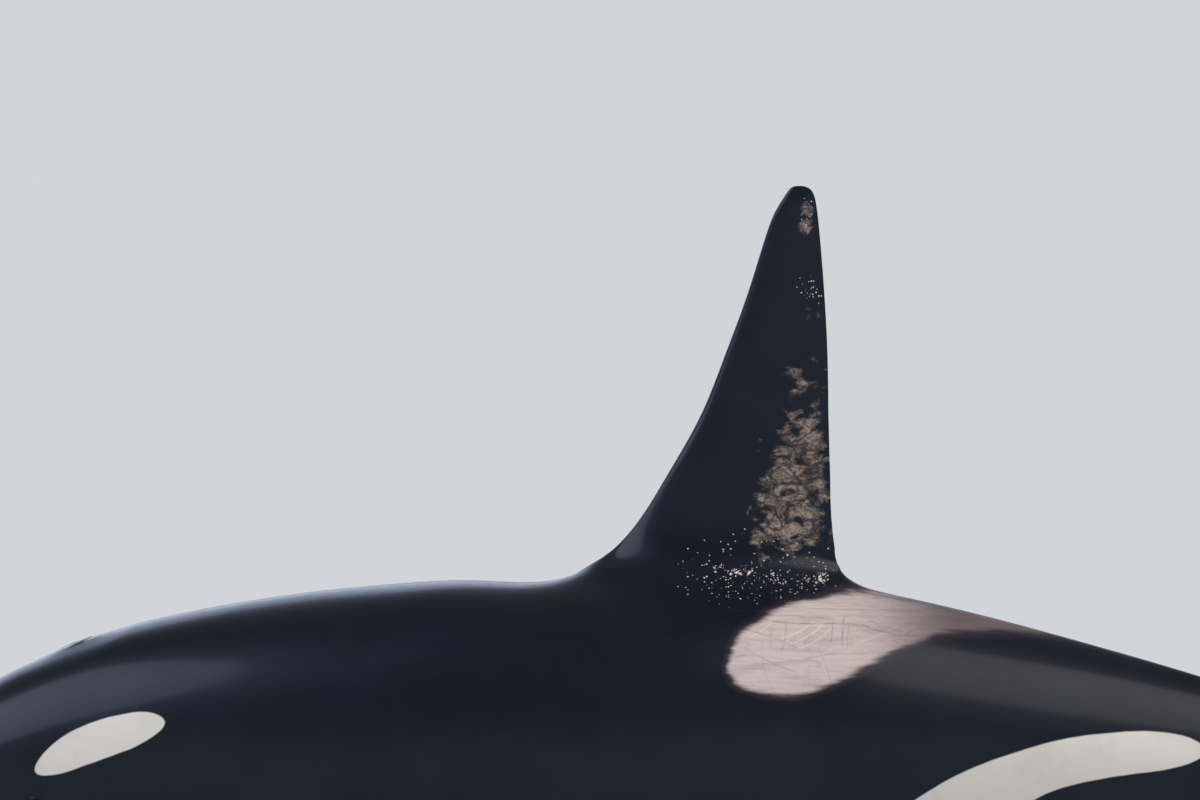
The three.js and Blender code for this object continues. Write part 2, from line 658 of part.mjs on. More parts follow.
const animal = solidOf(geometryFrom(skin, fine.faces.flatMap(({ corners }) => trianglesOf(corners, skin))));
const flesh = new THREE.MeshStandardMaterial({ color: 0x14171c, roughness: 0.35 });
const standPaint = new THREE.MeshStandardMaterial({ color: 0x8f9296, roughness: 0.6 });
const steel = new THREE.MeshStandardMaterial({ color: 0xb4b7ba, roughness: 0.35, metalness: 1 });
const eyeMaterial = new THREE.MeshStandardMaterial({ color: 0x1c1512, roughness: 0.1 });
const group = new THREE.Group();
group.name = "orca";
function addMesh(name, geometry, material) {
  const mesh = new THREE.Mesh(geometry, material);
  mesh.name = name;
  group.add(mesh);
}
for (const [name, piece] of pieces) addMesh(name, pieceGeometry(piece), flesh);
addMesh("eye_left", eyeball(1), eyeMaterial);
addMesh("eye_right", eyeball(-1), eyeMaterial);
addMesh("stand_base", standBase(), standPaint);
for (const [name, x] of [["front", ROD.spread], ["rear", -ROD.spread]]) {
  addMesh(`stand_rod_${name}`, standRod(x), steel);
  addMesh(`stand_collar_${name}`, standCollar(x), steel);
}
export default group;
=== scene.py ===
"""The looks of a life-size orca model on a display stand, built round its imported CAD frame.

One skin takes the place of all the pieces of flesh, with two eyes, a welded steel stand and a plain stage.
Lengths are in metres. +X points to the head, +Y to the animal's left side, +Z up. A station is a distance
behind the tip of the snout along the body's axis.
"""

import math
from functools import partial

import bmesh
import bpy
import numpy as np
from bpy.props import FloatProperty, FloatVectorProperty, IntProperty, PointerProperty
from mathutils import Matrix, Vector
from mathutils.bvhtree import BVHTree
from mathutils.kdtree import KDTree


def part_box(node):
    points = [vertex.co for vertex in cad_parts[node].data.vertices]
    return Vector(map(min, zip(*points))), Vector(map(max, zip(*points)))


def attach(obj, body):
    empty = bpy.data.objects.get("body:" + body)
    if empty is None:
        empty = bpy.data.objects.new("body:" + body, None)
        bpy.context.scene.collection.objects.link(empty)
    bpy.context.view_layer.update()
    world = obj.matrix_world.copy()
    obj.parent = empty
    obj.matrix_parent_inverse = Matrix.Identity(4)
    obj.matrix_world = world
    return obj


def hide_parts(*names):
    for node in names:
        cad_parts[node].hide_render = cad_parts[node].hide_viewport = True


bl_info = {
    "name": "Orca on a display stand",
    "version": (1, 0, 0),
    "blender": (4, 5, 0),
    "location": "3D View > Sidebar > Orca",
    "description": "Skins, finishes and stages a life-size model of an adult male orca",
    "category": "Object",
}

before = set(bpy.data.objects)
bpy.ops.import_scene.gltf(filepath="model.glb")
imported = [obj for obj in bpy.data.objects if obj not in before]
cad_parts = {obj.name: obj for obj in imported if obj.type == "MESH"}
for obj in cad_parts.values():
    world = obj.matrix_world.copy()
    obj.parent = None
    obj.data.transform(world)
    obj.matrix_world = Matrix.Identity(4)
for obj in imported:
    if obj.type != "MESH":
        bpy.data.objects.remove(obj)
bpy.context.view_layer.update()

FLESH = (
    "head", "lower_jaw", "chest", "trunk", "tail_stock", "dorsal_fin",
    "flipper_left", "flipper_right", "fluke_left", "fluke_right",
)

# The axis of the body in its pose: how many degrees it falls towards the tail at each station
ARCH_LINE = ((0, -5), (1.3, -4.5), (2.6, -1.2), (3.5, 0), (4.3, 2.2), (5.3, 4.4), (6.2, 5.5), (7.2, 2))
STAND_STATION = 3.09
LEVEL_STATION = 3.5
LEVEL_AXIS_HEIGHT = 1.6

# The line of the closed mouth: (station, height over the axis)
MOUTH_LINE = ((0, -0.092), (0.13, -0.104), (0.35, -0.124), (0.5, -0.146), (0.62, -0.178))
MOUTH_CORNER = 0.62
MOUTH_REACH = 0.02  # an edge of the mouth's line lies this near to it

# Outlines of the markings. The eye patch and the side lobe are seen from the side, as (station, height over the
# axis). The saddle patch and the patch of painted sheen on the fin, a painted reflection of warm light, are seen
# from the side too, as (x, z) in the frame.
EYE_PATCH = (
    (0.706, 0.032), (0.728, 0.072), (0.785, 0.122), (0.885, 0.180), (1.030, 0.222), (1.150, 0.236), (1.228, 0.224),
    (1.266, 0.190), (1.238, 0.148), (1.130, 0.092), (0.965, 0.045), (0.820, 0.006), (0.755, 0.000), (0.718, 0.008),
)
SIDE_LOBE = (
    (3.90, -0.90), (4.08, -0.52), (4.30, -0.27), (4.58, -0.08), (4.92, 0.06), (5.26, 0.13), (5.52, 0.125),
    (5.60, 0.06), (5.46, -0.01), (5.18, -0.07), (4.94, -0.15), (4.78, -0.28), (4.70, -0.46), (4.68, -0.90),
)
THROAT = (
    (-0.20, -0.105), (0.06, -0.112), (0.13, -0.119), (0.35, -0.140), (0.50, -0.165), (0.60, -0.206), (0.70, -0.256),
    (0.90, -0.312), (1.10, -0.369), (1.20, -0.425), (1.27, -0.600), (1.28, -1.20), (0.60, -1.30), (-0.20, -1.20),
)
SADDLE = (
    (-0.503, 1.930), (-0.515, 2.010), (-0.560, 2.076), (-0.640, 2.136), (-0.730, 2.181), (-0.840, 2.214),
    (-0.970, 2.240), (-1.120, 2.240), (-1.300, 2.210), (-1.500, 2.170), (-1.720, 2.118), (-1.930, 2.056),
    (-1.740, 2.062), (-1.560, 2.070), (-1.405, 2.060), (-1.270, 2.025), (-1.150, 1.965), (-1.000, 1.888),
    (-0.820, 1.822), (-0.640, 1.826), (-0.540, 1.868),
)
# The patch of painted sheen on the fin: warm light reflected from its lumpy skin, painted into the colour
FIN_PAINTED_SHEEN = (
    (-0.640, 2.440), (-0.625, 2.540), (-0.660, 2.680), (-0.715, 2.820), (-0.770, 2.910), (-0.820, 2.980),
    (-0.880, 3.000), (-0.920, 2.930), (-0.928, 2.760), (-0.930, 2.560), (-0.900, 2.450), (-0.780, 2.415),
)
# Half width of the white on the belly, as (station, radians round the axis from the keel)
BELLY = (
    (0.80, 0.20), (1.00, 0.60), (1.10, 0.74), (1.20, 0.755), (1.38, 0.745), (1.55, 0.70), (1.80, 0.58),
    (2.10, 0.46), (2.50, 0.34), (3.00, 0.27), (3.40, 0.28), (3.80, 0.35), (4.15, 0.46), (4.50, 0.45), (4.80, 0.36),
    (5.10, 0.30), (5.35, 0.12), (5.45, -0.15),
)
BELLY_RADIUS = 0.5  # turns those radians into a length
BORDER_REACH = 0.012  # the skin is divided more finely this near to the border of the white

# The lids. Pairs are a half width and a half height.
LID_OPENING = (0.030, 0.020)
LID_CLOSING = (0.06, 0.26)  # how much of the CAD opening's width and height they cover
LID_RING = (0.043, 0.029)  # the ring that their roll and fold follow
LID_RING_WIDTH = 0.12  # as a share of that ring's size
LID_RIM = 0.0188  # how far their rim stands out of the middle of the eyeball
LID_RIM_FALL = 0.003  # how much less that is at the corners
LID_GAP = 0.0008
LID_ROLL = 0.0014
LID_FOLDS = (0.0030, 0.0018)  # depth of the folds over and under the eye
EYE_FULLNESS = 0.45  # the power of the eyeball's outline, which is 0.5 on an ellipsoid

# The blowhole: a closed slit bent into a crescent, with its horns forward
BLOWHOLE = {"station": 0.925, "radius": 0.052, "half_turn": 1.25}
BLOWHOLE_REACH = 0.13  # half width of the place where the skin is divided finely for it
BLOWHOLE_DEPTH = 0.011
BLOWHOLE_RIM = 0.004  # height of the rim behind the slit and of the plug in front of it

# Long thin rake marks on the saddle patch: (x, z) of both ends, bulge sideways, half width, and how strong they
# are. Most are dark, and some have healed paler than the skin round them.
RAKES = (
    (-0.662, 2.130, -0.998, 2.118, 0.010, 0.0060, 0.80),
    (-0.691, 2.147, -0.977, 2.126, -0.006, 0.0040, 0.60),
    (-0.725, 2.185, -1.258, 2.168, 0.008, 0.0040, 0.50),
    (-0.775, 2.202, -1.208, 2.198, 0.006, 0.0030, 0.40),
    (-0.998, 2.147, -0.990, 2.009, 0.004, 0.0060, 0.70),
    (-0.948, 2.130, -0.939, 2.030, -0.004, 0.0050, 0.60),
    (-1.023, 2.122, -1.011, 2.004, 0.006, 0.0040, 0.50),
    (-0.750, 2.126, -0.729, 1.996, -0.012, 0.0060, 0.55),
    (-0.700, 2.105, -0.691, 2.009, 0.006, 0.0050, 0.50),
    (-0.578, 2.093, -0.813, 2.009, -0.008, 0.0050, 0.60),
    (-1.057, 2.114, -1.288, 2.059, 0.010, 0.0060, 0.60),
    (-1.095, 2.130, -1.258, 2.076, 0.008, 0.0040, 0.50),
    (-1.195, 2.030, -1.313, 2.093, -0.006, 0.0050, 0.50),
    (-0.565, 2.030, -0.817, 1.912, 0.012, 0.0050, 0.50),
    (-0.817, 1.967, -1.111, 1.988, -0.014, 0.0050, 0.50),
    (-0.649, 1.988, -0.712, 1.820, 0.010, 0.0040, 0.40),
    (-0.880, 2.030, -0.943, 1.841, -0.010, 0.0040, 0.45),
    (-1.237, 2.147, -1.594, 2.122, 0.005, 0.0040, 0.40),
)
PALE_RAKES = (
    (-0.725, 2.055, -0.880, 2.130, 0.012, 0.0050, 0.50),
    (-0.754, 2.030, -0.922, 2.122, 0.014, 0.0050, 0.50),
    (-0.788, 2.009, -0.952, 2.105, 0.014, 0.0040, 0.40),
    (-0.599, 2.059, -0.717, 2.147, 0.010, 0.0040, 0.40),
    (-1.027, 2.030, -1.258, 2.122, 0.010, 0.0050, 0.35),
)

# Where drops stand on the skin, each painted pale as a glint, and where flecks of painted sheen lie round the
# fin's painted sheen: (x, z) of the middle, half length, half height, and how dense they are
# Drops, each with a painted glint
BEADS = (
    (-0.570, 2.324, 0.063, 0.025, 1.30),
    (-0.473, 2.332, 0.042, 0.021, 1.00),
    (-0.838, 2.286, 0.046, 0.021, 1.10),
    (-0.910, 2.290, 0.038, 0.038, 1.20),
    (-0.717, 2.298, 0.055, 0.025, 0.80),
    (-0.670, 2.294, 0.328, 0.101, 0.30),
    (-0.628, 2.345, 0.399, 0.189, 0.10),
    (-0.855, 3.500, 0.059, 0.084, 0.40),
    (-0.843, 3.785, 0.042, 0.118, 0.25),
)
# Flecks of painted sheen: small spots of painted reflection above and round the fin's patch
SHEEN_FLECKS = (
    (-0.826, 3.101, 0.160, 0.336, 0.92),
    (-0.868, 3.416, 0.084, 0.252, 0.70),
    (-0.843, 3.794, 0.050, 0.134, 1.20),
    (-0.712, 2.702, 0.210, 0.420, 0.60),
    (-0.775, 2.420, 0.252, 0.109, 0.60),
)

# Mottling of the skin: size of its spots in metres, how many finer sizes lie in them, how rough it is, and how its
# directions along, across and up are squeezed
MOTTLING = {
    "clouds": (0.35, 4, 0.55, (1, 1, 1)),
    "ragged": (0.013, 3, 0.60, (1, 1, 1)),
    "grain": (0.008, 2, 0.50, (1, 1, 1)),
    "blotches": (0.05, 3, 0.50, (1, 1, 1)),
    "pits": (0.006, 2, 0.50, (1, 1, 1)),
    "stains": (0.22, 4, 0.60, (1, 1, 1)),
    "edges": (0.16, 2, 0.50, (1, 1, 1)),
    "brushed": (0.10, 5, 0.65, (0.28, 1, 2.2)),
    "streaks": (0.06, 6, 0.70, (0.25, 1, 2.6)),
    "long scratches": (0.17, 2, 0.40, (0.18, 1, 1.5)),
    "cross scratches": (0.15, 2, 0.40, (1.6, 1, 0.2)),
}
# Lumps under the painted sheen on the fin, the same way but for the last number, which says how far they are bent
LUMPS = {
    "plateaus": (0.055, 4, 0.52, 0.4),
    "wide creases": (0.10, 3, 0.50, 0.6),
    "narrow creases": (0.06, 3, 0.50, 0.6),
}
LUMP_SLANT = math.radians(-35)
DROP_SHAKE = 0.012
WATER_IOR = 1.33
CORNEA_IOR = 1.38
EYE_REACH = 0.03  # from the middle of the pupil to the edge of the colours on the ball
# Settings that many nodes share
SOFT = {"interpolation_type": "SMOOTHSTEP"}
COLOURS = {"data_type": "RGBA"}

# Cuts between the pieces of flesh are 0.4 mm wide
CUT_REACH = 7e-4  # a face of a cut lies this near to the next piece
CUT_JOIN = 4.3e-4  # points of a cut's two edges are joined over this distance
SAME_POINT = 1e-5
ODD_FACES = 20  # at most this many faces of the skin may be other than quads
DIAGONAL_SLACK = 1.5e-3  # a diagonal may be this much shorter than the other one of its quad

# The lips, from the groove outwards: how far from the line of the mouth in lip widths, how deep in groove depths,
# and how far proud in metres
LIP_PROFILE = ((0, 1.0, 0), (0.3, 0.45, 0), (0.62, 0, 0.0015), (1.02, 0, 0.003), (1.12, 0, 0))
HEAD_MAP_SCALE = 1.6  # the head is drawn this much larger on the bake map
CHIN = 0.14  # behind this station, the bake map is slit along the keel
FLUKE_MARGIN = 0.045  # the width of the dark margin round the white under a fluke
THROAT_BLEND = 0.012  # how softly the white of the throat runs into that of the belly
SHARP_ANGLE = math.radians(35)

# The stand: how far a tube runs into the belly, and the radius and thickness of a washer and of a bolt's head
TUBE_REACH = 0.008
TUBE_EDGE = 0.0015
COLLAR_EDGE = 0.0018
COLLAR_STEPS = (0.022, 0.011, 0.010)  # the neck's foot and its two steps, outwards from the tube
WASHER = (0.0125, 0.002)
BOLT_HEAD = (0.0095, 0.0075)
BOLT_EDGE = 0.0008

# The stage
FLOOR_SIZE = 1200
FLOOR_DROP = 0.0005  # the floor lies this far below the base, so that the two faces don't flicker
CAMERA_X = 0.0226
SENSOR_WIDTH = 36
VIEW_RANGE = (1, 2000)
# The light all round, near eye level and overhead: the rise of the way there (0 level, 1 straight up),
# and its strength
SKY_RISE = (0.02, 0.5)
SKY_STRENGTH = (0.72, 0.2)
# Large soft lamps far away: name, the way to it, strength, width in degrees and colour
LAMPS = (
    ("front", (0.673, 0.314, 0.669), 1.75, 50, "#eef3ff"),
    ("rear", (-0.673, 0.314, 0.669), 1.75, 50, "#fff1e2"),
    ("back", (0.25, -0.90, 0.36), 0.4, 36, "#cfe0ff"),
)


def linear(colour):
    """An sRGB hex colour as linear red, green, blue and alpha."""
    parts = [int(colour[k : k + 2], 16) / 255 for k in (1, 3, 5)]
    return tuple(c / 12.92 if c <= 0.04045 else ((c + 0.055) / 1.055) ** 2.4 for c in parts) + (1.0,)


def darker(colour, share):
    """The given share of a colour's light, as red, green, blue and alpha."""
    return tuple(c * share for c in colour[:3]) + (1.0,)


def colour_setting(name, about, colour):
    return FloatVectorProperty(
        name=name, description=about, default=linear(colour), size=4, min=0, max=1, subtype="COLOR"
    )


def length_setting(name, about, metres):
    return FloatProperty(name=name, description=about, default=metres, min=0, unit="LENGTH", precision=4)


class OrcaSkinSettings(bpy.types.PropertyGroup):
    black: colour_setting("Black skin", "Colour of the black skin", "#0a0f18")
    white: colour_setting("White skin", "Colour of the belly and the eye patches", "#d9d6d0")
    grey: colour_setting("Saddle patch", "Colour of the patch behind the dorsal fin", "#cabcb8")
    # The colour of the painted sheen on the fin, a painted reflection of warm light
    painted_sheen: colour_setting("Fin sheen", "Warm tint of the lumpy skin at the rear of the fin", "#a39285")
    lip_offset: length_setting("Lip width", "How far the lips reach from the line of the mouth", 0.017)
    lip_depth: length_setting("Lip groove", "How deep the closed mouth sinks between the lips", 0.013)
    ripple: length_setting("Fin ripples", "Height of the ripples at the rear of the dorsal fin", 0.0016)


class OrcaEyeSettings(bpy.types.PropertyGroup):
    iris: colour_setting("Iris", "Colour of the iris", "#2c1a12")
    bulge: length_setting("Cornea", "How far the cornea stands out of the ball", 0.0012)


class OrcaStandSettings(bpy.types.PropertyGroup):
    paint: colour_setting("Base paint", "Colour of the powder coat", "#6f7275")
    steel: colour_setting("Rod steel", "Colour of the brushed steel", "#b9babb")
    base_corner: length_setting("Base corner", "Radius of the base's corners", 0.16)
    base_edge: length_setting("Base edge", "Radius of the base's upper edge", 0.012)
    bolts: IntProperty(name="Bolts", description="Bolts round the foot of each rod", default=6, min=3, max=12)


class OrcaStageSettings(bpy.types.PropertyGroup):
    distance: length_setting("Distance", "From the camera to the middle of the animal", 56.0)
    height: length_setting("Height", "Of the camera above the floor", 4.355)
    pitch: FloatProperty(
        name="Pitch", description="How far the camera looks down", default=math.radians(1.345), subtype="ANGLE"
    )
    lens: FloatProperty(name="Lens", description="Focal length in millimetres", default=400.0, min=20)
    floor: colour_setting("Floor", "Colour of the floor", "#d9dee0")
    wall: colour_setting("Surroundings", "Colour of the light all round", "#f2f6fb")


def add_node(tree, kind, *values, **details):
    """Adds a node. Values fill its inputs in order, and of the details the lower-case names are settings.

    The other details are inputs. An input takes a value, an output to link to it, or a node whose first output
    that is in use is linked.
    """
    node = tree.nodes.new("ShaderNode" + kind)
    given = {}
    for name, value in details.items():
        if name.islower():
            setattr(node, name, value)
        else:
            given[node.inputs[name.replace("_", " ")]] = value
    given.update(zip([socket for socket in node.inputs if socket.enabled], values))
    for socket, value in given.items():
        if isinstance(value, bpy.types.Node):
            value = next(output for output in value.outputs if output.enabled)
        if isinstance(value, bpy.types.NodeSocket):
            tree.links.new(value, socket)
        else:
            socket.default_value = value
    return node


def new_material(name):
    """A material without nodes, and the function that adds one to it."""
    material = bpy.data.materials.new(name)
    material.use_nodes = True
    material.node_tree.nodes.clear()
    return material, partial(add_node, material.node_tree)


def leave_nothing_selected():
    """Leaves edit mode and selects nothing, before a new piece is added."""
    if bpy.context.object and bpy.context.object.mode != "OBJECT":
        bpy.ops.object.mode_set(mode="OBJECT")
    bpy.ops.object.select_all(action="DESELECT")
    bpy.context.view_layer.objects.active = None


def make_active(piece):
    """Selects one piece alone."""
    bpy.ops.object.select_all(action="DESELECT")
    piece.select_set(True)
    bpy.context.view_layer.objects.active = piece


def points_of(mesh, kind="co"):
    """Places of the vertices, or their normals."""
    points = np.empty(len(mesh.vertices) * 3)
    mesh.vertices.foreach_get(kind, points)
    return points.reshape(-1, 3)


def move_points(mesh, points):
    """Moves the vertices to new places."""
    mesh.vertices.foreach_set("co", np.ascontiguousarray(points, float).ravel())
    mesh.update()


def store(mesh, name, values, kind="FLOAT"):
    """Keeps a value or a vector for each vertex, for the materials."""
    if name in mesh.attributes:
        mesh.attributes.remove(mesh.attributes[name])
    attribute = mesh.attributes.new(name, kind, "POINT")
    attribute.data.foreach_set("value" if kind == "FLOAT" else "vector", np.asarray(values, np.float32).ravel())


def smooth_step(x, low, high):
    """Rises smoothly from 0 at low to 1 at high."""
    t = np.clip((x - low) / (high - low), 0, 1)
    return t * t * (3 - 2 * t)


def axis_table():
    """Station, x, z and fall of the body's axis in its pose, a centimetre apart."""
    step = 0.01
    stations = np.arange(0, 7.61, step)
    fall = np.radians(np.interp(stations + step / 2, *zip(*ARCH_LINE)))
    x = -np.concatenate([[0], np.cumsum(np.cos(fall) * step)[:-1]])
    z = -np.concatenate([[0], np.cumsum(np.sin(fall) * step)[:-1]])
    x -= np.interp(STAND_STATION, stations, x)
    z += LEVEL_AXIS_HEIGHT - np.interp(LEVEL_STATION, stations, z)
    return stations, x, z, fall


def straightened(points):
    """Station, distance to the left and height over the axis of points in the frame."""
    stations, x, z, fall = axis_table()
    station = STAND_STATION - points[:, 0]
    for _ in range(5):
        angle = np.interp(station, stations, fall)
        beyond = np.minimum(station, 0)
        dx = points[:, 0] - (np.interp(station, stations, x) - beyond)
        dz = points[:, 2] - np.interp(station, stations, z)
        station = station - dx * np.cos(angle) - dz * np.sin(angle)
    return station, points[:, 1], dz * np.cos(angle) - dx * np.sin(angle)


def inside_distance(u, v, outline, steps=8):
    """How far inside a smooth closed outline each point lies, and less than nothing outside it."""
    corners = np.array(outline)
    curve = []
    for k in range(len(corners)):
        a, b, c, d = (corners[(k + j) % len(corners)] for j in (-1, 0, 1, 2))
        for t in np.arange(steps) / steps:
            curve.append(
                0.5 * (2 * b + (c - a) * t + (2 * a - 5 * b + 4 * c - d) * t**2 + (3 * b - a - 3 * c + d) * t**3)
            )
    nearest = np.full(len(u), np.inf)
    inside = np.zeros(len(u), bool)
    for (ua, va), (ub, vb) in zip(curve, curve[1:] + curve[:1]):
        du, dv = ub - ua, vb - va
        t = np.clip(((u - ua) * du + (v - va) * dv) / (du * du + dv * dv), 0, 1)
        nearest = np.minimum(nearest, np.hypot(u - ua - t * du, v - va - t * dv))
        crosses = (va > v) != (vb > v)
        inside ^= crosses & (u < ua + (v - va) * du / (dv or 1e-12))
    return np.where(inside, nearest, -nearest)


def waves(points, size, seed):
    """Smooth bumps of about the given size, from -1 to 1."""
    turn = np.random.default_rng(seed)
    total = np.zeros(len(points))
    for _ in range(10):
        way = turn.normal(size=3)
        way *= turn.uniform(0.7, 1.5) * 2 * math.pi / size / np.linalg.norm(way)
        total += np.sin(points @ way + turn.uniform(0, 2 * math.pi))
    return total / 5


def select_parts(piece, kind, chosen):
    """Selects the EDGEs or FACEs whose numbers are given, and stays in edit mode."""
    make_active(piece)
    bpy.ops.object.mode_set(mode="EDIT")
    bpy.ops.mesh.select_mode(type=kind)
    bpy.ops.mesh.select_all(action="DESELECT")
    bpy.ops.object.mode_set(mode="OBJECT")
    parts = {"EDGE": piece.data.edges, "FACE": piece.data.polygons}[kind]
    flags = np.zeros(len(parts), bool)
    flags[list(chosen)] = True
    parts.foreach_set("select", flags)
    bpy.ops.object.mode_set(mode="EDIT")


def end_edit():
    """Goes back to object mode."""
    bpy.ops.object.mode_set(mode="OBJECT")


def start_edit():
    """Goes to edit mode with all of the active piece selected."""
    bpy.ops.object.mode_set(mode="EDIT")
    bpy.ops.mesh.select_all(action="SELECT")


def flesh_copy(name, index):
    """A copy of a CAD node, merged, with the number of its piece on every face."""
    piece = bpy.data.objects.new("copy_" + name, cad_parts[name].data.copy())
    bpy.context.scene.collection.objects.link(piece)
    make_active(piece)
    bpy.ops.mesh.customdata_custom_splitnormals_clear()
    start_edit()
    bpy.ops.mesh.remove_doubles(threshold=SAME_POINT)
    end_edit()
    number = piece.data.attributes.new("piece", "INT", "FACE")
    number.data.foreach_set("value", [index] * len(piece.data.polygons))
    return piece


def open_cuts(copies):
    """Takes away the faces that close each copy where a thin cut parts it from another one."""
    trees = []
    for piece in copies:
        shape = bmesh.new()
        shape.from_mesh(piece.data)
        trees.append(BVHTree.FromBMesh(shape))
        shape.free()
    for piece, own in zip(copies, trees):
        others = [tree for tree in trees if tree is not own]
        closing = [
            face.index
            for face in piece.data.polygons
            if any(tree.find_nearest(face.center, CUT_REACH)[0] for tree in others)
        ]
        select_parts(piece, "FACE", closing)
        bpy.ops.mesh.delete(type="FACE")
        end_edit()


def quad_diagonals(shape):
    """One edge for each pair of triangles that was split from a quad, on its longer diagonal."""
    gain = {}
    for edge in shape.edges:
        if len(edge.link_faces) != 2:
            continue
        ends = [next(v for v in face.verts if v not in edge.verts) for face in edge.link_faces]
        longer = edge.calc_length() - (ends[0].co - ends[1].co).length
        if longer > -DIAGONAL_SLACK:
            gain[edge] = longer / edge.calc_length()
    choices = {face: {edge for edge in face.edges if edge in gain} for face in shape.faces}
    picked = []

    def pick(edge):
        picked.append(edge)
        touched = []
        for face in edge.link_faces:
            for other in choices.pop(face):
                for near in other.link_faces:
                    if near in choices:
                        choices[near].discard(other)
                        touched.append(near)
        return touched

    # A triangle with a single choice left is joined first, so that no triangle is left over
    single = [face for face, edges in choices.items() if len(edges) == 1]
    for edge in sorted(gain, key=gain.get, reverse=True):
        while single:
            face = single.pop()
            if len(choices.get(face, ())) == 1:
                single += pick(next(iter(choices[face])))
        if all(edge in choices.get(face, ()) for face in edge.link_faces):
            single += pick(edge)
    return picked


def piece_numbers(mesh):
    """The number of the piece of flesh that each face came from."""
    numbers = np.empty(len(mesh.polygons), np.int32)
    mesh.attributes["piece"].data.foreach_get("value", numbers)
    return numbers


def edge_faces(mesh):
    """The numbers of the faces on each edge."""
    sides = [[] for _ in mesh.edges]
    for face in mesh.polygons:
        for loop in face.loop_indices:
            sides[mesh.loops[loop].edge_index].append(face.index)
    return sides


def meet_surface(mesh, rounds=2):
    """Moves the vertices outwards so that the subdivided surface passes through where they were."""
    goal = points_of(mesh)
    quads = np.array([face.vertices[:] for face in mesh.polygons if len(face.vertices) == 4])
    count = np.bincount(quads.ravel(), minlength=len(goal))[:, None]
    loose = np.ones(len(goal), bool)
    loose[[v for face in mesh.polygons if len(face.vertices) != 4 for v in face.vertices]] = False
    moved = goal.copy()
    for _ in range(rounds):
        near, far = np.zeros_like(goal), np.zeros_like(goal)
        for k in range(4):
            np.add.at(near, quads[:, k], moved[quads[:, (k + 1) % 4]])
            np.add.at(far, quads[:, k], moved[quads[:, (k + 2) % 4]])
        reached = (moved * count**2 + 4 * near + far) / np.maximum(count * (count + 5), 1)
        moved[loose] += (goal - reached)[loose]
    move_points(mesh, moved)


def sink_mouth(piece, offset, depth):
    """Bevels the line of the mouth into two lips with a groove between them."""
    mesh = piece.data
    numbers = piece_numbers(mesh)
    head, jaw = FLESH.index("head"), FLESH.index("lower_jaw")
    station, _, height = straightened(points_of(mesh))
    line = []
    for edge, faces in zip(mesh.edges, edge_faces(mesh)):
        is_border = {int(numbers[face]) for face in faces} == {head, jaw}
        ends = np.array(edge.vertices[:])
        above = height[ends] - np.interp(station[ends], *zip(*MOUTH_LINE))
        ahead = station[ends] < MOUTH_CORNER + 0.004
        if is_border and ahead.all() and (np.abs(above) < MOUTH_REACH).all():
            line.append(edge.index)
    if len(line) < 20:
        raise RuntimeError("the line of the mouth wasn't found on the skin")
    seam = np.array(sorted({v for e in line for v in mesh.edges[e].vertices}))
    before = points_of(mesh)[seam]
    normals = np.array([mesh.vertices[v].normal[:] for v in seam])
    chain = [before[np.searchsorted(seam, mesh.edges[k].vertices[:])] for k in line]
    select_parts(piece, "EDGE", line)
    bpy.ops.mesh.bevel(
        offset=offset, offset_type="OFFSET", segments=4, profile=0.5, affect="EDGES", clamp_overlap=True
    )
    end_edit()
    points = points_of(mesh)
    near = np.full(len(points), np.inf)
    for a, b in chain:
        along = b - a
        t = np.clip((points - a) @ along / (along @ along), 0, 1)
        near = np.minimum(near, np.linalg.norm(points - a - t[:, None] * along, axis=1))
    tree = KDTree(len(seam))
    for k, p in enumerate(before):
        tree.insert(p, k)
    tree.balance()
    station, _, _ = straightened(points)
    # The groove ends at the corner of the mouth
    fade = 1 - smooth_step(station, MOUTH_CORNER - 0.05, MOUTH_CORNER + 0.012)
    reach, sunk, proud = np.array(LIP_PROFILE).T
    shift = np.interp(near / offset, reach, proud - sunk * depth)
    for k in np.flatnonzero(near < reach[-1] * offset):
        _, index, _ = tree.find(points[k])
        points[k] += normals[index] * shift[k] * fade[k]
    move_points(mesh, points)


def refine_blowhole(piece):
    """Divides the skin round the blowhole, so that it can take the slit."""
    mesh = piece.data
    station, left, _ = straightened(points_of(mesh))
    top = [
        face.index
        for face in mesh.polygons
        if face.normal.z > 0.6
        and np.abs(station[list(face.vertices)] - BLOWHOLE["station"]).max() < BLOWHOLE_REACH
        and np.abs(left[list(face.vertices)]).max() < BLOWHOLE_REACH
    ]
    select_parts(piece, "FACE", top)
    bpy.ops.mesh.subdivide(number_cuts=5, smoothness=0, ngon=True)
    end_edit()


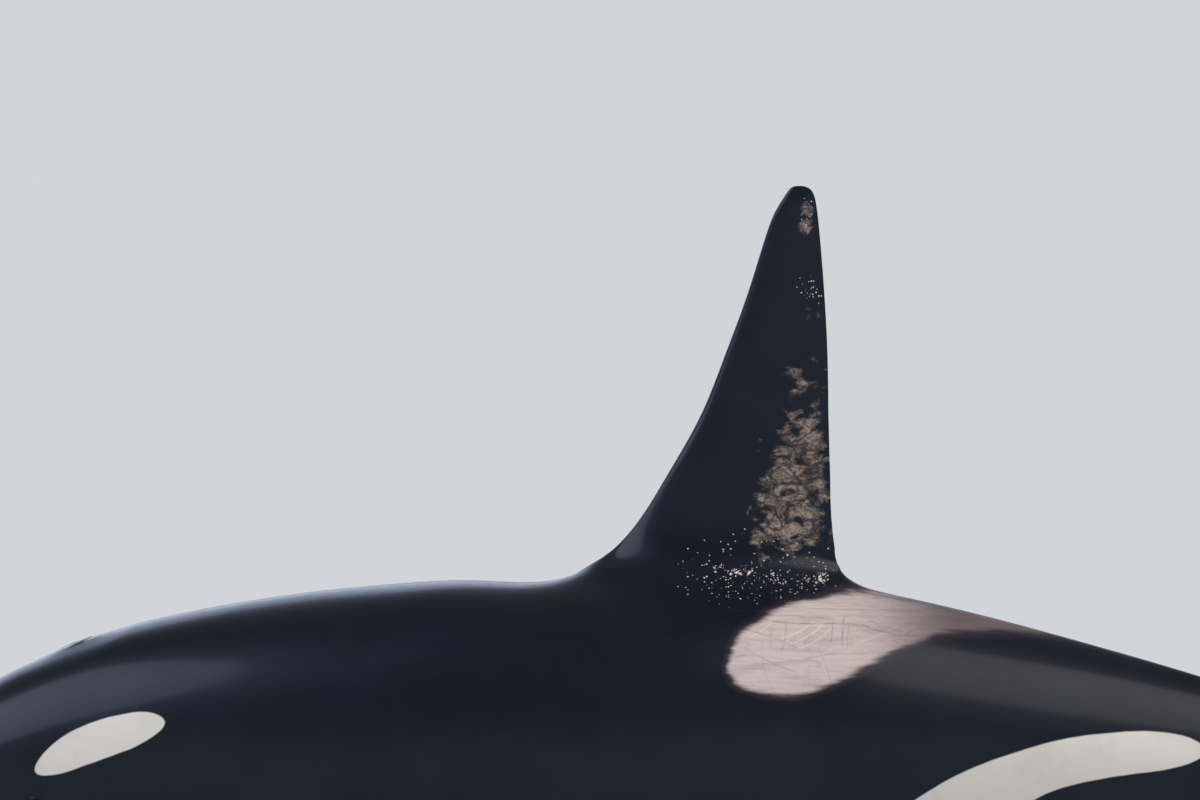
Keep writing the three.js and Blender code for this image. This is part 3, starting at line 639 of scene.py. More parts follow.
def unwrap_skin(piece):
    """Few islands: the head, the body slit along the keel, and both faces of every fin."""
    mesh = piece.data
    numbers = piece_numbers(mesh)
    points = points_of(mesh)
    normals = np.array([face.normal[:] for face in mesh.polygons])
    head, jaw, tail = (FLESH.index(n) for n in ("head", "lower_jaw", "tail_stock"))
    is_head = np.isin(numbers, (head, jaw))
    group = np.where(is_head, 0, np.where(numbers <= tail, 1, numbers))
    side = np.where(numbers == FLESH.index("dorsal_fin"), normals[:, 1], normals[:, 2]) > 0
    station, left, height = straightened(points)
    seams = []
    for edge, faces in zip(mesh.edges, edge_faces(mesh)):
        if len(faces) != 2:
            seams.append(edge.index)
            continue
        a, b = faces
        ends = list(edge.vertices)
        parts = group[a] != group[b] or (group[a] > 1 and side[a] != side[b])
        keel = group[a] <= 1 and (np.abs(left[ends]) < 1e-3).all() and (height[ends] < 0).all()
        if parts or (keel and (group[a] == 1 or station[ends].min() > CHIN)):
            seams.append(edge.index)
    select_parts(piece, "EDGE", seams)
    bpy.ops.mesh.mark_seam(clear=False)
    end_edit()
    for layer in list(mesh.uv_layers):
        mesh.uv_layers.remove(layer)
    mesh.uv_layers.new(name="OFBake")
    start_edit()
    bpy.ops.uv.unwrap(method="CONFORMAL", margin=0.002)
    bpy.ops.uv.select_all(action="SELECT")
    bpy.ops.uv.average_islands_scale()
    end_edit()
    loops = np.empty(len(mesh.loops) * 2)
    mesh.uv_layers["OFBake"].data.foreach_get("uv", loops)
    loops = loops.reshape(-1, 2)
    on_head = np.repeat(is_head, [face.loop_total for face in mesh.polygons])
    loops[on_head] *= HEAD_MAP_SCALE
    mesh.uv_layers["OFBake"].data.foreach_set("uv", loops.ravel())
    start_edit()
    bpy.ops.uv.select_all(action="SELECT")
    bpy.ops.uv.pack_islands(margin=0.003, rotate=True, scale=True)
    end_edit()


def eye_frame(name):
    """Middle of a CAD eyeball, the directions along, up and out of it, and its half sizes that way."""
    points = points_of(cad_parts[name].data)
    middle = (points.min(0) + points.max(0)) / 2
    spread = points - middle
    _, ways = np.linalg.eigh(spread.T @ spread)
    out, up = ways[:, 0], ways[:, 1]
    out = out * np.sign(out[1] * middle[1])
    up = up * np.sign(up[2])
    axes = np.array([np.cross(up, out), up, out])
    return middle, axes, np.abs(spread @ axes.T).max(0)


def ball_height(along, up, sizes):
    """How far the eyeball's front stands out of its middle: a little fuller than an ellipsoid."""
    inside = 1 - (along / sizes[0]) ** 2 - (up / sizes[1]) ** 2
    return sizes[2] * np.maximum(inside, 0) ** EYE_FULLNESS


def draw_lids(points, name):
    """Lays the rims of the lids on the eyeball, narrows the opening, and rolls and folds the skin round it."""
    middle, axes, sizes = eye_frame(name)
    local = (points - middle) @ axes.T
    along, up, out = local.T
    near = (np.abs(along) < 0.09) & (np.abs(up) < 0.08) & (out > -0.004) & (out < 0.06)
    share = 1 - smooth_step(np.hypot(along / LID_OPENING[0], up / LID_OPENING[1]), 0.95, 2.1)
    share *= smooth_step(out, -0.004, 0.010)
    rim = LID_RIM - LID_RIM_FALL * (along / LID_OPENING[0]) ** 2
    along = along * (1 - LID_CLOSING[0] * share)
    up = up * (1 - LID_CLOSING[1] * share)
    goal = ball_height(along, up, sizes) + LID_GAP
    ring = np.hypot(along / LID_RING[0], up / LID_RING[1])
    roll = LID_ROLL * np.exp(-(((ring - 0.78) / LID_RING_WIDTH) ** 2))
    fold = np.where(up > 0, *LID_FOLDS) * np.exp(-(((ring - 1.08) / LID_RING_WIDTH) ** 2))
    out = out - share * np.maximum(rim - goal, 0) + (roll - fold) * smooth_step(out, 0.004, 0.012)
    local[near] = np.column_stack([along, up, out])[near]
    points[near] = middle + local[near] @ axes


def relax(mesh, points, weight, rounds):
    """Evens the surface where the weight isn't zero, by moving vertices towards the middle of their neighbours."""
    ends = np.empty(len(mesh.edges) * 2, np.int32)
    mesh.edges.foreach_get("vertices", ends)
    ends = ends.reshape(-1, 2)
    ends = np.concatenate([ends, ends[:, ::-1]])
    ends = ends[weight[ends[:, 0]] > 0]
    active, own = np.unique(ends[:, 0], return_inverse=True)
    count = np.bincount(own)[:, None]
    share = 0.5 * weight[active][:, None]
    for _ in range(rounds):
        total = [np.bincount(own, weights=points[ends[:, 1], k]) for k in range(3)]
        points[active] += share * (np.stack(total, 1) / count - points[active])


def soften_fin_root(mesh, points, left):
    """Rounds the hollows where the dorsal fin grows out of the back, and more so at its rear edge."""
    x, z = points[:, 0], points[:, 2]
    root = smooth_step(z, 2.06, 2.24) * (1 - smooth_step(z, 2.50, 2.80)) * smooth_step(np.abs(left), 0.004, 0.03)
    root *= smooth_step(x, -1.30, -1.05) * (1 - smooth_step(x, 0.15, 0.45))
    relax(mesh, points, root, 300)
    rear = 1 - smooth_step(np.hypot(x + 0.965, z - 2.315), 0.07, 0.17)
    relax(mesh, points, 0.7 * rear, 40)


def flatten_tail(mesh, points, station, left, height):
    """Flattens the ridge of the tail between the flukes, which grow out of it with rounded hollows."""
    end = smooth_step(station, 6.70, 7.15) * (1 - smooth_step(np.abs(left), 0.07, 0.17))
    points[:, 2] -= 0.62 * end * height
    tail = smooth_step(station, 6.15, 6.50) * (1 - smooth_step(np.abs(left), 0.18, 0.34))
    relax(mesh, points, tail, 140)
    points[:, 0] += 0.06 * smooth_step(station, 6.98, 7.14) * (1 - smooth_step(np.abs(left), 0.0, 0.08))


def skin_ripples(points, fin, ripple):
    """How far slack skin stands out: faint waves all over, and ripples that run up and down the dorsal fin."""
    sheen = smooth_step(inside_distance(points[:, 0], points[:, 2], FIN_PAINTED_SHEEN), -0.10, 0.05) * fin
    push = 0.0012 * waves(points * [0.5, 1, 1], 0.35, 3) * (1 - fin)
    push += ripple * sheen * waves(points * [1.0, 0, 0.7], 0.11, 5)
    push += 0.0025 * fin * waves(points * [1.0, 0, 0.45], 0.30, 8)
    return push


def blowhole_relief(mesh, points, station, left, height):
    """How far the skin stands out round the blowhole: its slit, its raised rim and the plug in front of it."""
    ahead = BLOWHOLE["station"] - BLOWHOLE["radius"] * 0.6 - station
    radius = np.hypot(ahead, left)
    turn = np.abs(np.arctan2(left, -ahead))
    near_top = (height > 0) & (radius < 0.2)
    relax(mesh, points, (height > 0) * (1 - smooth_step(radius, 0.14, 0.28)), 40)
    off_slit = radius - BLOWHOLE["radius"]
    slit = np.exp(-((off_slit / 0.0045) ** 2))
    slit *= 1 - smooth_step(turn, BLOWHOLE["half_turn"], BLOWHOLE["half_turn"] + 0.35)
    rim = np.exp(-(((off_slit - 0.018) / 0.013) ** 2)) * (1 - smooth_step(turn, 1.0, 2.2))
    plug = np.exp(-((radius / 0.036) ** 2))
    return np.where(near_top, -BLOWHOLE_DEPTH * slit + BLOWHOLE_RIM * rim + BLOWHOLE_RIM * plug, 0)


def shape_details(piece, settings):
    """Moves the vertices of the finished skin: the fin's root, the tail, slack skin, the blowhole and the lids."""
    mesh = piece.data
    points = points_of(mesh)
    normals = points_of(mesh, "normal")
    station, left, height = straightened(points)
    fin = limb_share(mesh, "dorsal_fin")
    soften_fin_root(mesh, points, left)
    flatten_tail(mesh, points, station, left, height)
    push = skin_ripples(points, fin, settings.ripple)
    push += blowhole_relief(mesh, points, station, left, height)
    points += normals * push[:, None]
    for name in ("eye_left", "eye_right"):
        draw_lids(points, name)
    move_points(mesh, points)


def limb_share(mesh, *names):
    """How much each vertex belongs to the named pieces, from 0 to 1."""
    numbers = piece_numbers(mesh)
    chosen = np.isin(numbers, [FLESH.index(n) for n in names])
    corners = np.empty(len(mesh.loops), np.int32)
    mesh.loops.foreach_get("vertex_index", corners)
    sizes = [face.loop_total for face in mesh.polygons]
    own = np.repeat(chosen, sizes)
    total = np.bincount(corners, minlength=len(mesh.vertices))
    return np.bincount(corners, weights=own, minlength=len(mesh.vertices)) / np.maximum(total, 1)


def mark_skin(piece):
    """Stores for each vertex how far inside each marking it lies, in metres."""
    mesh = piece.data
    points = points_of(mesh)
    normals = points_of(mesh, "normal")
    station, left, height = straightened(points)
    fin = limb_share(mesh, "dorsal_fin")
    flipper = limb_share(mesh, "flipper_left", "flipper_right")
    fluke = limb_share(mesh, "fluke_left", "fluke_right")
    turn = np.arctan2(np.abs(left), -height)
    band = (np.interp(station, *zip(*BELLY)) - turn) * BELLY_RADIUS
    band = np.where((station > 0.8) & (station < 5.6), band, -0.5)
    lobe = inside_distance(station, height, SIDE_LOBE)
    throat = inside_distance(station, height, THROAT)
    patch = inside_distance(station, height, EYE_PATCH)
    # The undersides of the flukes are white inside a dark margin
    thin = np.flatnonzero((fluke > 0.5) & (np.abs(normals[:, 2]) < 0.35))
    tree = KDTree(len(thin))
    for k in thin:
        tree.insert(points[k], int(k))
    tree.balance()
    under = np.full(len(points), -0.5)
    for k in np.flatnonzero((station > 6.6) & (normals[:, 2] < 0)):
        edge = tree.find(points[k])[2]
        reach = min(station[k] - 6.72 + 0.5 * abs(left[k]), 7.10 - station[k] + abs(left[k]))
        under[k] = min(edge - FLUKE_MARGIN, -normals[k, 2] * 0.2 - 0.06, reach)
    # The white of the throat runs into the white of the belly without a corner
    below = np.logaddexp(band / THROAT_BLEND, throat / THROAT_BLEND) * THROAT_BLEND
    white = np.maximum.reduce([below, lobe, patch, under])
    white = np.where(flipper + fin > 0.01, -0.3, white)
    saddle = inside_distance(points[:, 0], points[:, 2], SADDLE)
    saddle = np.minimum(saddle, 0.4 - 2.0 * fin)
    sheen = np.where(fin > 0, inside_distance(points[:, 0], points[:, 2], FIN_PAINTED_SHEEN), -0.3)
    store(mesh, "white", white)
    store(mesh, "saddle", saddle)
    store(mesh, "sheen", sheen)
    for name, spots in (("beads", BEADS), ("sheen_flecks", SHEEN_FLECKS)):
        density = np.zeros(len(points))
        for x, z, long, tall, dense in spots:
            reach = 1 - ((points[:, 0] - x) / long) ** 2 - ((points[:, 2] - z) / tall) ** 2
            density = np.maximum(density, dense * np.clip(reach, 0, 1))
        store(mesh, name, density)


def refine_borders(piece):
    """Divides the faces along the borders of the white, so that the borders run in smooth curves."""
    mesh = piece.data
    white = np.empty(len(mesh.vertices), np.float32)
    mesh.attributes["white"].data.foreach_get("value", white)
    near = np.abs(white) < BORDER_REACH
    select_parts(piece, "FACE", [face.index for face in mesh.polygons if near[list(face.vertices)].any()])
    bpy.ops.mesh.subdivide(number_cuts=1, smoothness=0, ngon=True)
    end_edit()


def skin_material(settings):
    """Orca skin, smooth and wet: a clear film of water lies on it, so the black looks deep and the gloss sharp."""
    material, add = new_material("orca_skin_wet")
    coordinates = add("TexCoord").outputs["Object"]
    x, _, z = add("SeparateXYZ", coordinates).outputs
    marks = {
        name: add("Attribute", attribute_name=name).outputs["Fac"]
        for name in ("white", "saddle", "sheen", "beads", "sheen_flecks")
    }
    mottling, lumps = {}, {}
    for name, (size, detail, roughness, stretch) in MOTTLING.items():
        place = add("Mapping", coordinates, Scale=stretch)
        mottling[name] = add("TexNoise", place, Scale=1 / size, Detail=detail, Roughness=roughness)
    slanted = add("Mapping", coordinates, Rotation=(0, LUMP_SLANT, 0), Scale=(0.72, 0.3, 1.1))
    for name, (size, detail, roughness, bend) in LUMPS.items():
        lumps[name] = add("TexNoise", slanted, Scale=1 / size, Detail=detail, Roughness=roughness, Distortion=bend)

    def rake(row):
        """A thin curved line between two points, tapered at both ends."""
        xa, za, xb, zb, bulge, width, depth = row
        long = math.hypot(xb - xa, zb - za)
        ux, uz = (xb - xa) / long, (zb - za) / long
        share = add("Math", z, uz / long, -(xa * ux + za * uz) / long, operation="MULTIPLY_ADD")
        share = add("Math", x, ux / long, share, operation="MULTIPLY_ADD")
        aside = add("Math", z, ux, xa * uz - za * ux, operation="MULTIPLY_ADD")
        aside = add("Math", x, -uz, aside, operation="MULTIPLY_ADD")
        rest = add("Math", 1.0, share, operation="SUBTRACT")
        inner = add("Math", share, rest, operation="MULTIPLY")
        bent = add("Math", inner, -4 * bulge, aside, operation="MULTIPLY_ADD")
        off_line = add("Math", bent, operation="ABSOLUTE")
        line = add("MapRange", off_line, width, width * 0.15, **SOFT)
        taper = add("MapRange", inner, 0.0, 0.12, **SOFT)
        drawn = add("Math", line, taper, operation="MULTIPLY")
        return add("Math", drawn, depth, operation="MULTIPLY")

    def rakes(rows):
        """The strongest of several rake marks."""
        found = rake(rows[0])
        for row in rows[1:]:
            found = add("Math", found, rake(row), operation="MAXIMUM")
        return found

    # Drops sit in places that are shaken, so that they aren't round
    shake = add("TexNoise", coordinates, Scale=1 / DROP_SHAKE, Detail=2.0).outputs["Color"]
    shaken = add("VectorMath", shake, (DROP_SHAKE,) * 3, coordinates, operation="MULTIPLY_ADD")

    def spots(size, density, reach):
        """Spots in random places, of which the density says how many there are."""
        cells = add("TexVoronoi", shaken, Scale=1 / size)
        chance = add("SeparateXYZ", cells.outputs["Color"])
        present = add("Math", density, chance, operation="GREATER_THAN")
        spot = add("MapRange", cells, reach, reach * 0.4, **SOFT)
        return add("Math", spot, present, operation="MULTIPLY")

    # Black, with soft clouds a hand wide and finer ones in them
    clouds = add("MapRange", mottling["clouds"], 0.35, 0.7, **SOFT)
    black = add("Mix", clouds, tuple(settings.black), linear("#0e141f"), **COLOURS)

    # Painted sheen at the rear of the fin: a painted reflection of warm light on plateaus 4 to 5 cm across, with
    # painted shade in the creases between them, drawn out in a slant, which break up into flecks of painted sheen
    # towards the patch's edge
    inwards = add("MapRange", marks["sheen"], -0.15, 0.07, -0.36, 0.15)
    flecked = add("Math", marks["sheen_flecks"], 0.35, -0.36, operation="MULTIPLY_ADD")
    reach = add("Math", inwards, flecked, operation="MAXIMUM")
    ragged = add("Math", mottling["ragged"], 0.10, -0.05, operation="MULTIPLY_ADD")
    raised = add("Math", lumps["plateaus"], reach, operation="ADD")
    raised = add("Math", raised, ragged, operation="ADD")
    lit = add("MapRange", raised, 0.44, 0.62, **SOFT)
    # Painted shade: in the creases between the plateaus, the painted sheen fades to the black skin
    creases = {}
    for name, middle, width in (("wide creases", 0.5, 0.060), ("narrow creases", 0.52, 0.055)):
        off_line = add("Math", lumps[name], middle, operation="SUBTRACT")
        off_line = add("Math", off_line, operation="ABSOLUTE")
        off_line = add("Math", ragged, 0.12, off_line, operation="MULTIPLY_ADD")
        creases[name] = add("MapRange", off_line, width, 0.0, **SOFT)
    fainter = add("Math", creases["narrow creases"], 0.7, operation="MULTIPLY")
    crease = add("Math", creases["wide creases"], fainter, operation="MAXIMUM")
    crease = add("Math", crease, -0.85, 1.0, operation="MULTIPLY_ADD")
    lit = add("Math", lit, crease, operation="MULTIPLY")
    # The painted sheen's own colour: a warm painted reflection, grainy in tone, laid over the black where the
    # plateaus are lit
    fine = add("Math", mottling["grain"], 0.5, operation="MULTIPLY")
    coarse = add("Math", mottling["blotches"], 0.5, operation="MULTIPLY")
    grainy = add("Math", fine, coarse, operation="ADD")
    grainy = add("MapRange", grainy, 0.38, 0.62, **SOFT)
    painted_sheen = add("Mix", grainy, linear("#5f534d"), tuple(settings.painted_sheen), **COLOURS)
    painted_light_share = add("Math", lit, 0.92, operation="MULTIPLY")
    colour = add("Mix", painted_light_share, black, painted_sheen, **COLOURS)

    # The saddle patch is brushed lengthwise, with pale healed marks in it
    streaks = add("MapRange", mottling["streaks"], 0.30, 0.60, **SOFT)
    grey = add("Mix", streaks, linear("#b2a5a4"), tuple(settings.grey), **COLOURS)
    grey = add("Mix", rakes(PALE_RAKES), grey, linear("#e4d9d4"), **COLOURS)

    # Rake marks are dark, and drawn a little wider than life so that they show
    scratches = []
    for name, width in (("long scratches", 0.009), ("cross scratches", 0.006)):
        off_line = add("Math", mottling[name], 0.5, operation="SUBTRACT")
        off_line = add("Math", off_line, operation="ABSOLUTE")
        scratches.append(add("MapRange", off_line, width, 0.002, **SOFT))
    scratched = add("Math", *scratches, operation="MAXIMUM")
    scratched = add("Math", scratched, 0.3, operation="MULTIPLY")
    scars = add("Math", rakes(RAKES), scratched, operation="MAXIMUM")
    broken = add("MapRange", mottling["blotches"], 0.35, 0.55, 0.35, 1.0, **SOFT)
    scars = add("Math", scars, broken, operation="MULTIPLY")
    scars = add("Math", scars, 0.55, operation="MULTIPLY")
    grey = add("Mix", scars, grey, linear("#5a5054"), **COLOURS)

    # Its tail is browner, and its edge is soft, with a purplish brown border
    tail = add("MapRange", x, -0.95, -1.50, **SOFT)
    tail = add("Math", tail, 0.9, operation="MULTIPLY")
    grey = add("Mix", tail, grey, linear("#564a4e"), **COLOURS)
    shift = add("Math", mottling["brushed"], 0.06, -0.03, operation="MULTIPLY_ADD")
    inwards = add("Math", marks["saddle"], shift, operation="ADD")
    border = add("MapRange", inwards, -0.030, 0.010, **SOFT)
    border = add("Math", border, 0.8, operation="MULTIPLY")
    colour = add("Mix", border, colour, linear("#3a3137"), **COLOURS)
    saddle = add("MapRange", inwards, -0.004, 0.026, **SOFT)
    colour = add("Mix", saddle, colour, grey, **COLOURS)

    # White skin is creamy, with a faint yellow-grey stain in soft spots, and its edges are crisp but not ruled
    stains = add("MapRange", mottling["stains"], 0.4, 0.75, **SOFT)
    cream = add("Mix", stains, tuple(settings.white), linear("#cfcac1"), **COLOURS)
    shift = add("Math", mottling["edges"], 0.010, -0.005, operation="MULTIPLY_ADD")
    inwards = add("Math", marks["white"], shift, operation="ADD")
    white = add("MapRange", inwards, -0.004, 0.004, **SOFT)
    colour = add("Mix", white, colour, cream, **COLOURS)

    # Drops that stand proud of the skin, each painted pale: a painted glint of light on each drop
    crowded = add("Math", marks["beads"], 1.1, -0.30, operation="MULTIPLY_ADD")
    drops_and_glints = add("Math", spots(0.010, marks["beads"], 0.42), spots(0.020, crowded, 0.46), operation="MAXIMUM")
    painted_light_share = add("Math", drops_and_glints, 0.9, operation="MULTIPLY")
    colour = add("Mix", painted_light_share, colour, linear("#f0e2df"), **COLOURS)

    # Gloss: the film of water is uneven, the pale skin is duller and the drops are shiny
    rough = add("Math", mottling["blotches"], 0.12, 0.28, operation="MULTIPLY_ADD")
    duller = add("Math", white, saddle, operation="MAXIMUM")
    duller = add("Math", duller, 0.10, operation="MULTIPLY")
    rough = add("Math", rough, duller, operation="ADD")
    rough = add("Math", drops_and_glints, -0.25, rough, operation="MULTIPLY_ADD")

    # Bump: shallow pitting everywhere, lumps on the fin and the drops on top
    relief = add("Math", mottling["pits"], 0.00018, operation="MULTIPLY")
    lumpy = add("Math", lit, lumps["plateaus"], operation="MULTIPLY")
    relief = add("Math", lumpy, 0.006, relief, operation="MULTIPLY_ADD")
    relief = add("Math", drops_and_glints, 0.002, relief, operation="MULTIPLY_ADD")
    bump = add("Bump", Height=relief, Strength=1.0, Distance=1.0)

    shader = add(
        "BsdfPrincipled",
        Base_Color=colour,
        Roughness=rough,
        Normal=bump,
        IOR=1.42,
        Specular_IOR_Level=0.33,
        Specular_Tint=linear("#cfe0ff"),
        Coat_Weight=0.30,
        Coat_Roughness=0.12,
        Coat_IOR=WATER_IOR,
    )
    add("OutputMaterial", shader)
    return material


class ORCA_OT_skin(bpy.types.Operator):
    """Joins the pieces of flesh into one smooth skin, shapes its details and finishes it"""

    bl_idname = "orca.skin"
    bl_label = "Build the skin"

    def execute(self, context):
        settings = context.scene.orca_skin
        leave_nothing_selected()
        copies = [flesh_copy(name, k) for k, name in enumerate(FLESH)]
        open_cuts(copies)
        for piece in copies:
            piece.select_set(True)
        bpy.context.view_layer.objects.active = copies[0]
        bpy.ops.object.join()
        skin = copies[0]
        skin.name = "orca_skin"
        skin.data.name = "orca_skin"
        start_edit()
        bpy.ops.mesh.remove_doubles(threshold=CUT_JOIN)
        end_edit()
        shape = bmesh.new()
        shape.from_mesh(skin.data)
        diagonals = [edge.index for edge in quad_diagonals(shape)]
        shape.free()
        select_parts(skin, "EDGE", diagonals)
        bpy.ops.mesh.dissolve_edges(use_verts=False)
        end_edit()
        odd = sum(len(face.vertices) != 4 for face in skin.data.polygons)
        if odd > ODD_FACES:
            raise RuntimeError(f"{odd} faces of the skin aren't quads")
        meet_surface(skin.data)
        sink_mouth(skin, settings.lip_offset, settings.lip_depth)
        refine_blowhole(skin)
        unwrap_skin(skin)
        smooth = skin.modifiers.new("smooth", "SUBSURF")
        smooth.levels = smooth.render_levels = 2
        smooth.uv_smooth = "PRESERVE_BOUNDARIES"
        bpy.ops.object.modifier_apply(modifier=smooth.name)
        bpy.ops.object.shade_smooth()
        shape_details(skin, settings)
        mark_skin(skin)
        refine_borders(skin)
        mark_skin(skin)
        skin.data.materials.clear()
        skin.data.materials.append(skin_material(settings))
        skin.data.polygons.foreach_set("material_index", [0] * len(skin.data.polygons))
        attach(skin, "root")
        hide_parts(*FLESH)
        return {"FINISHED"}


def eye_material(settings):
    """A wet eye: a clear glossy cornea over a dark brown iris, with a wide dark pupil."""
    material, add = new_material("orca_eye_wet")
    place = add("Attribute", attribute_name="gaze").outputs["Vector"]
    flat = add("VectorMath", place, (1.0, 1.25, 0.0), operation="MULTIPLY")
    away = add("VectorMath", flat, operation="LENGTH")
    away = add("Math", away, EYE_REACH, operation="DIVIDE")
    fibres = add("TexNoise", place, Scale=900.0, Detail=3.0)
    ramp = add("ValToRGB", away)
    stops = (
        (0.0, linear("#050405")),
        (0.24, linear("#070506")),
        (0.31, tuple(settings.iris)),
        (0.46, linear("#1e120d")),
        (0.58, linear("#0e0908")),
        (0.80, linear("#1c1311")),
        (1.0, linear("#2a1c19")),
    )
    ramp.color_ramp.elements.remove(ramp.color_ramp.elements[1])
    for k, (where, colour) in enumerate(stops):
        stop = ramp.color_ramp.elements[0] if k == 0 else ramp.color_ramp.elements.new(where)
        stop.position = where
        stop.color = colour
    colour = add("Mix", 0.4, ramp, fibres, blend_type="MULTIPLY", **COLOURS)
    shader = add(
        "BsdfPrincipled",
        Base_Color=colour,
        Roughness=0.35,
        IOR=CORNEA_IOR,
        Specular_IOR_Level=0.1,
        Coat_Weight=0.5,
        Coat_Roughness=0.03,
        Coat_IOR=CORNEA_IOR,
    )
    add("OutputMaterial", shader)
    return material


class ORCA_OT_eyes(bpy.types.Operator):
    """Builds both eyes, with a cornea that stands a little out of the ball"""

    bl_idname = "orca.eyes"
    bl_label = "Build the eyes"

    def execute(self, context):
        settings = context.scene.orca_eye
        material = eye_material(settings)
        for name in ("eye_left", "eye_right"):
            middle, axes, sizes = eye_frame(name)
            leave_nothing_selected()
            bpy.ops.mesh.primitive_uv_sphere_add(segments=64, ring_count=32, radius=1)
            eye = bpy.context.object
            eye.name = "orca_" + name
            ball = points_of(eye.data)
            local = ball * sizes
            front = ball[:, 2] > 0
            local[front, 2] = ball_height(local[front, 0], local[front, 1], sizes)
            cornea = np.exp(-((np.hypot(ball[:, 0], 0.9 * ball[:, 1]) / 0.45) ** 2))
            local[:, 2] += settings.bulge * cornea * front
            move_points(eye.data, middle + local @ axes)
            store(eye.data, "gaze", local, "FLOAT_VECTOR")
            start_edit()
            bpy.ops.mesh.normals_make_consistent(inside=False)
            end_edit()
            bpy.ops.object.shade_smooth()
            eye.data.materials.append(material)
            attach(eye, "root")
            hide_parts(name)
        return {"FINISHED"}


def paint_material(settings):
    """Powder-coated steel: a baked satin film with a fine orange-peel surface."""
    material, add = new_material("steel_powder_coated")
    coordinates = add("TexCoord").outputs["Object"]
    # The peel of the coat has dimples 2 mm wide, drawn at 5 mm so that they show
    peel = add("TexNoise", coordinates, Scale=1 / 0.005, Detail=2.0)
    patches = add("TexNoise", coordinates, Scale=1.2, Detail=4.0)
    colour = add("Mix", patches, tuple(settings.paint), darker(settings.paint, 0.9), **COLOURS)
    bump = add("Bump", Height=peel, Strength=0.25, Distance=0.0004)
    add("OutputMaterial", add("BsdfPrincipled", Base_Color=colour, Roughness=0.42, Normal=bump))
    return material


def steel_material(settings):
    """Stainless steel, ground lengthwise with a belt: fine grain up and down the rods softens the reflections."""
    if "stainless_steel_ground" in bpy.data.materials:
        return bpy.data.materials["stainless_steel_ground"]
    material, add = new_material("stainless_steel_ground")
    coordinates = add("TexCoord").outputs["Object"]
    # The grain is 0.3 mm wide, drawn at 2 mm so that it shows
    lengthwise = add("Mapping", coordinates, Scale=(1, 1, 0.02))
    grain = add("TexNoise", lengthwise, Scale=1 / 0.002, Detail=3.0)
    rough = add("MapRange", grain, To_Min=0.24, To_Max=0.42)
    colour = add("Mix", grain, tuple(settings.steel), darker(settings.steel, 0.8), **COLOURS)
    bump = add("Bump", Height=grain, Strength=0.15, Distance=0.0003)
    add("OutputMaterial", add("BsdfPrincipled", Base_Color=colour, Metallic=1.0, Roughness=rough, Normal=bump))
    return material


def place_mesh(piece):
    """Applies the object's place, turn and size to its mesh."""
    make_active(piece)
    bpy.ops.object.transform_apply(location=True, rotation=True, scale=True)


def edges_where(mesh, test):
    """The numbers of the edges whose two ends pass a test."""
    ends = [[mesh.vertices[v].co for v in edge.vertices] for edge in mesh.edges]
    return [k for k, (a, b) in enumerate(ends) if test(a, b)]


def bevel_edges(piece, chosen, width, segments):
    """Rounds the edges whose numbers are given."""
    select_parts(piece, "EDGE", chosen)
    bpy.ops.mesh.bevel(offset=width, segments=segments, profile=0.5, affect="EDGES")
    end_edit()


class ORCA_OT_base(bpy.types.Operator):
    """Builds the base plate, with round corners and a rounded upper edge"""

    bl_idname = "orca.base"
    bl_label = "Build the base"

    def execute(self, context):
        settings = context.scene.orca_stand
        low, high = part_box("stand_base")
        leave_nothing_selected()
        bpy.ops.mesh.primitive_cube_add(size=1, location=(low + high) / 2, scale=high - low)
        base = bpy.context.object
        base.name = "stand_base_plate"
        place_mesh(base)
        upright = edges_where(base.data, lambda a, b: abs(a.z - b.z) > 0.01)
        bevel_edges(base, upright, settings.base_corner, 16)
        rim = edges_where(base.data, lambda a, b: min(a.z, b.z) > high.z - 1e-4)
        bevel_edges(base, rim, settings.base_edge, 5)
        bpy.ops.object.shade_smooth_by_angle(angle=SHARP_ANGLE)
        base.data.materials.append(paint_material(settings))
        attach(base, "root")
        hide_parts("stand_base")
        return {"FINISHED"}


class ORCA_OT_rods(bpy.types.Operator):
    """Builds the two round tubes, which run a little way into the belly"""

    bl_idname = "orca.rods"
    bl_label = "Build the rods"

    def execute(self, context):
        steel = steel_material(context.scene.orca_stand)
        for end in ("front", "rear"):
            low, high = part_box("stand_rod_" + end)
            top = high.z + TUBE_REACH
            leave_nothing_selected()
            bpy.ops.mesh.primitive_cylinder_add(
                vertices=96,
                radius=(high.x - low.x) / 2,
                depth=top - low.z,
                end_fill_type="NGON",
                location=((low.x + high.x) / 2, 0, (top + low.z) / 2),
            )
            tube = bpy.context.object
            tube.name = "stand_tube_" + end
            place_mesh(tube)
            rims = edges_where(tube.data, lambda a, b: abs(a.z - b.z) < 1e-4)
            bevel_edges(tube, rims, TUBE_EDGE, 2)
            bpy.ops.object.shade_smooth_by_angle(angle=SHARP_ANGLE)
            tube.data.materials.append(steel)
            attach(tube, "root")
            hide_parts("stand_rod_" + end)
        return {"FINISHED"}


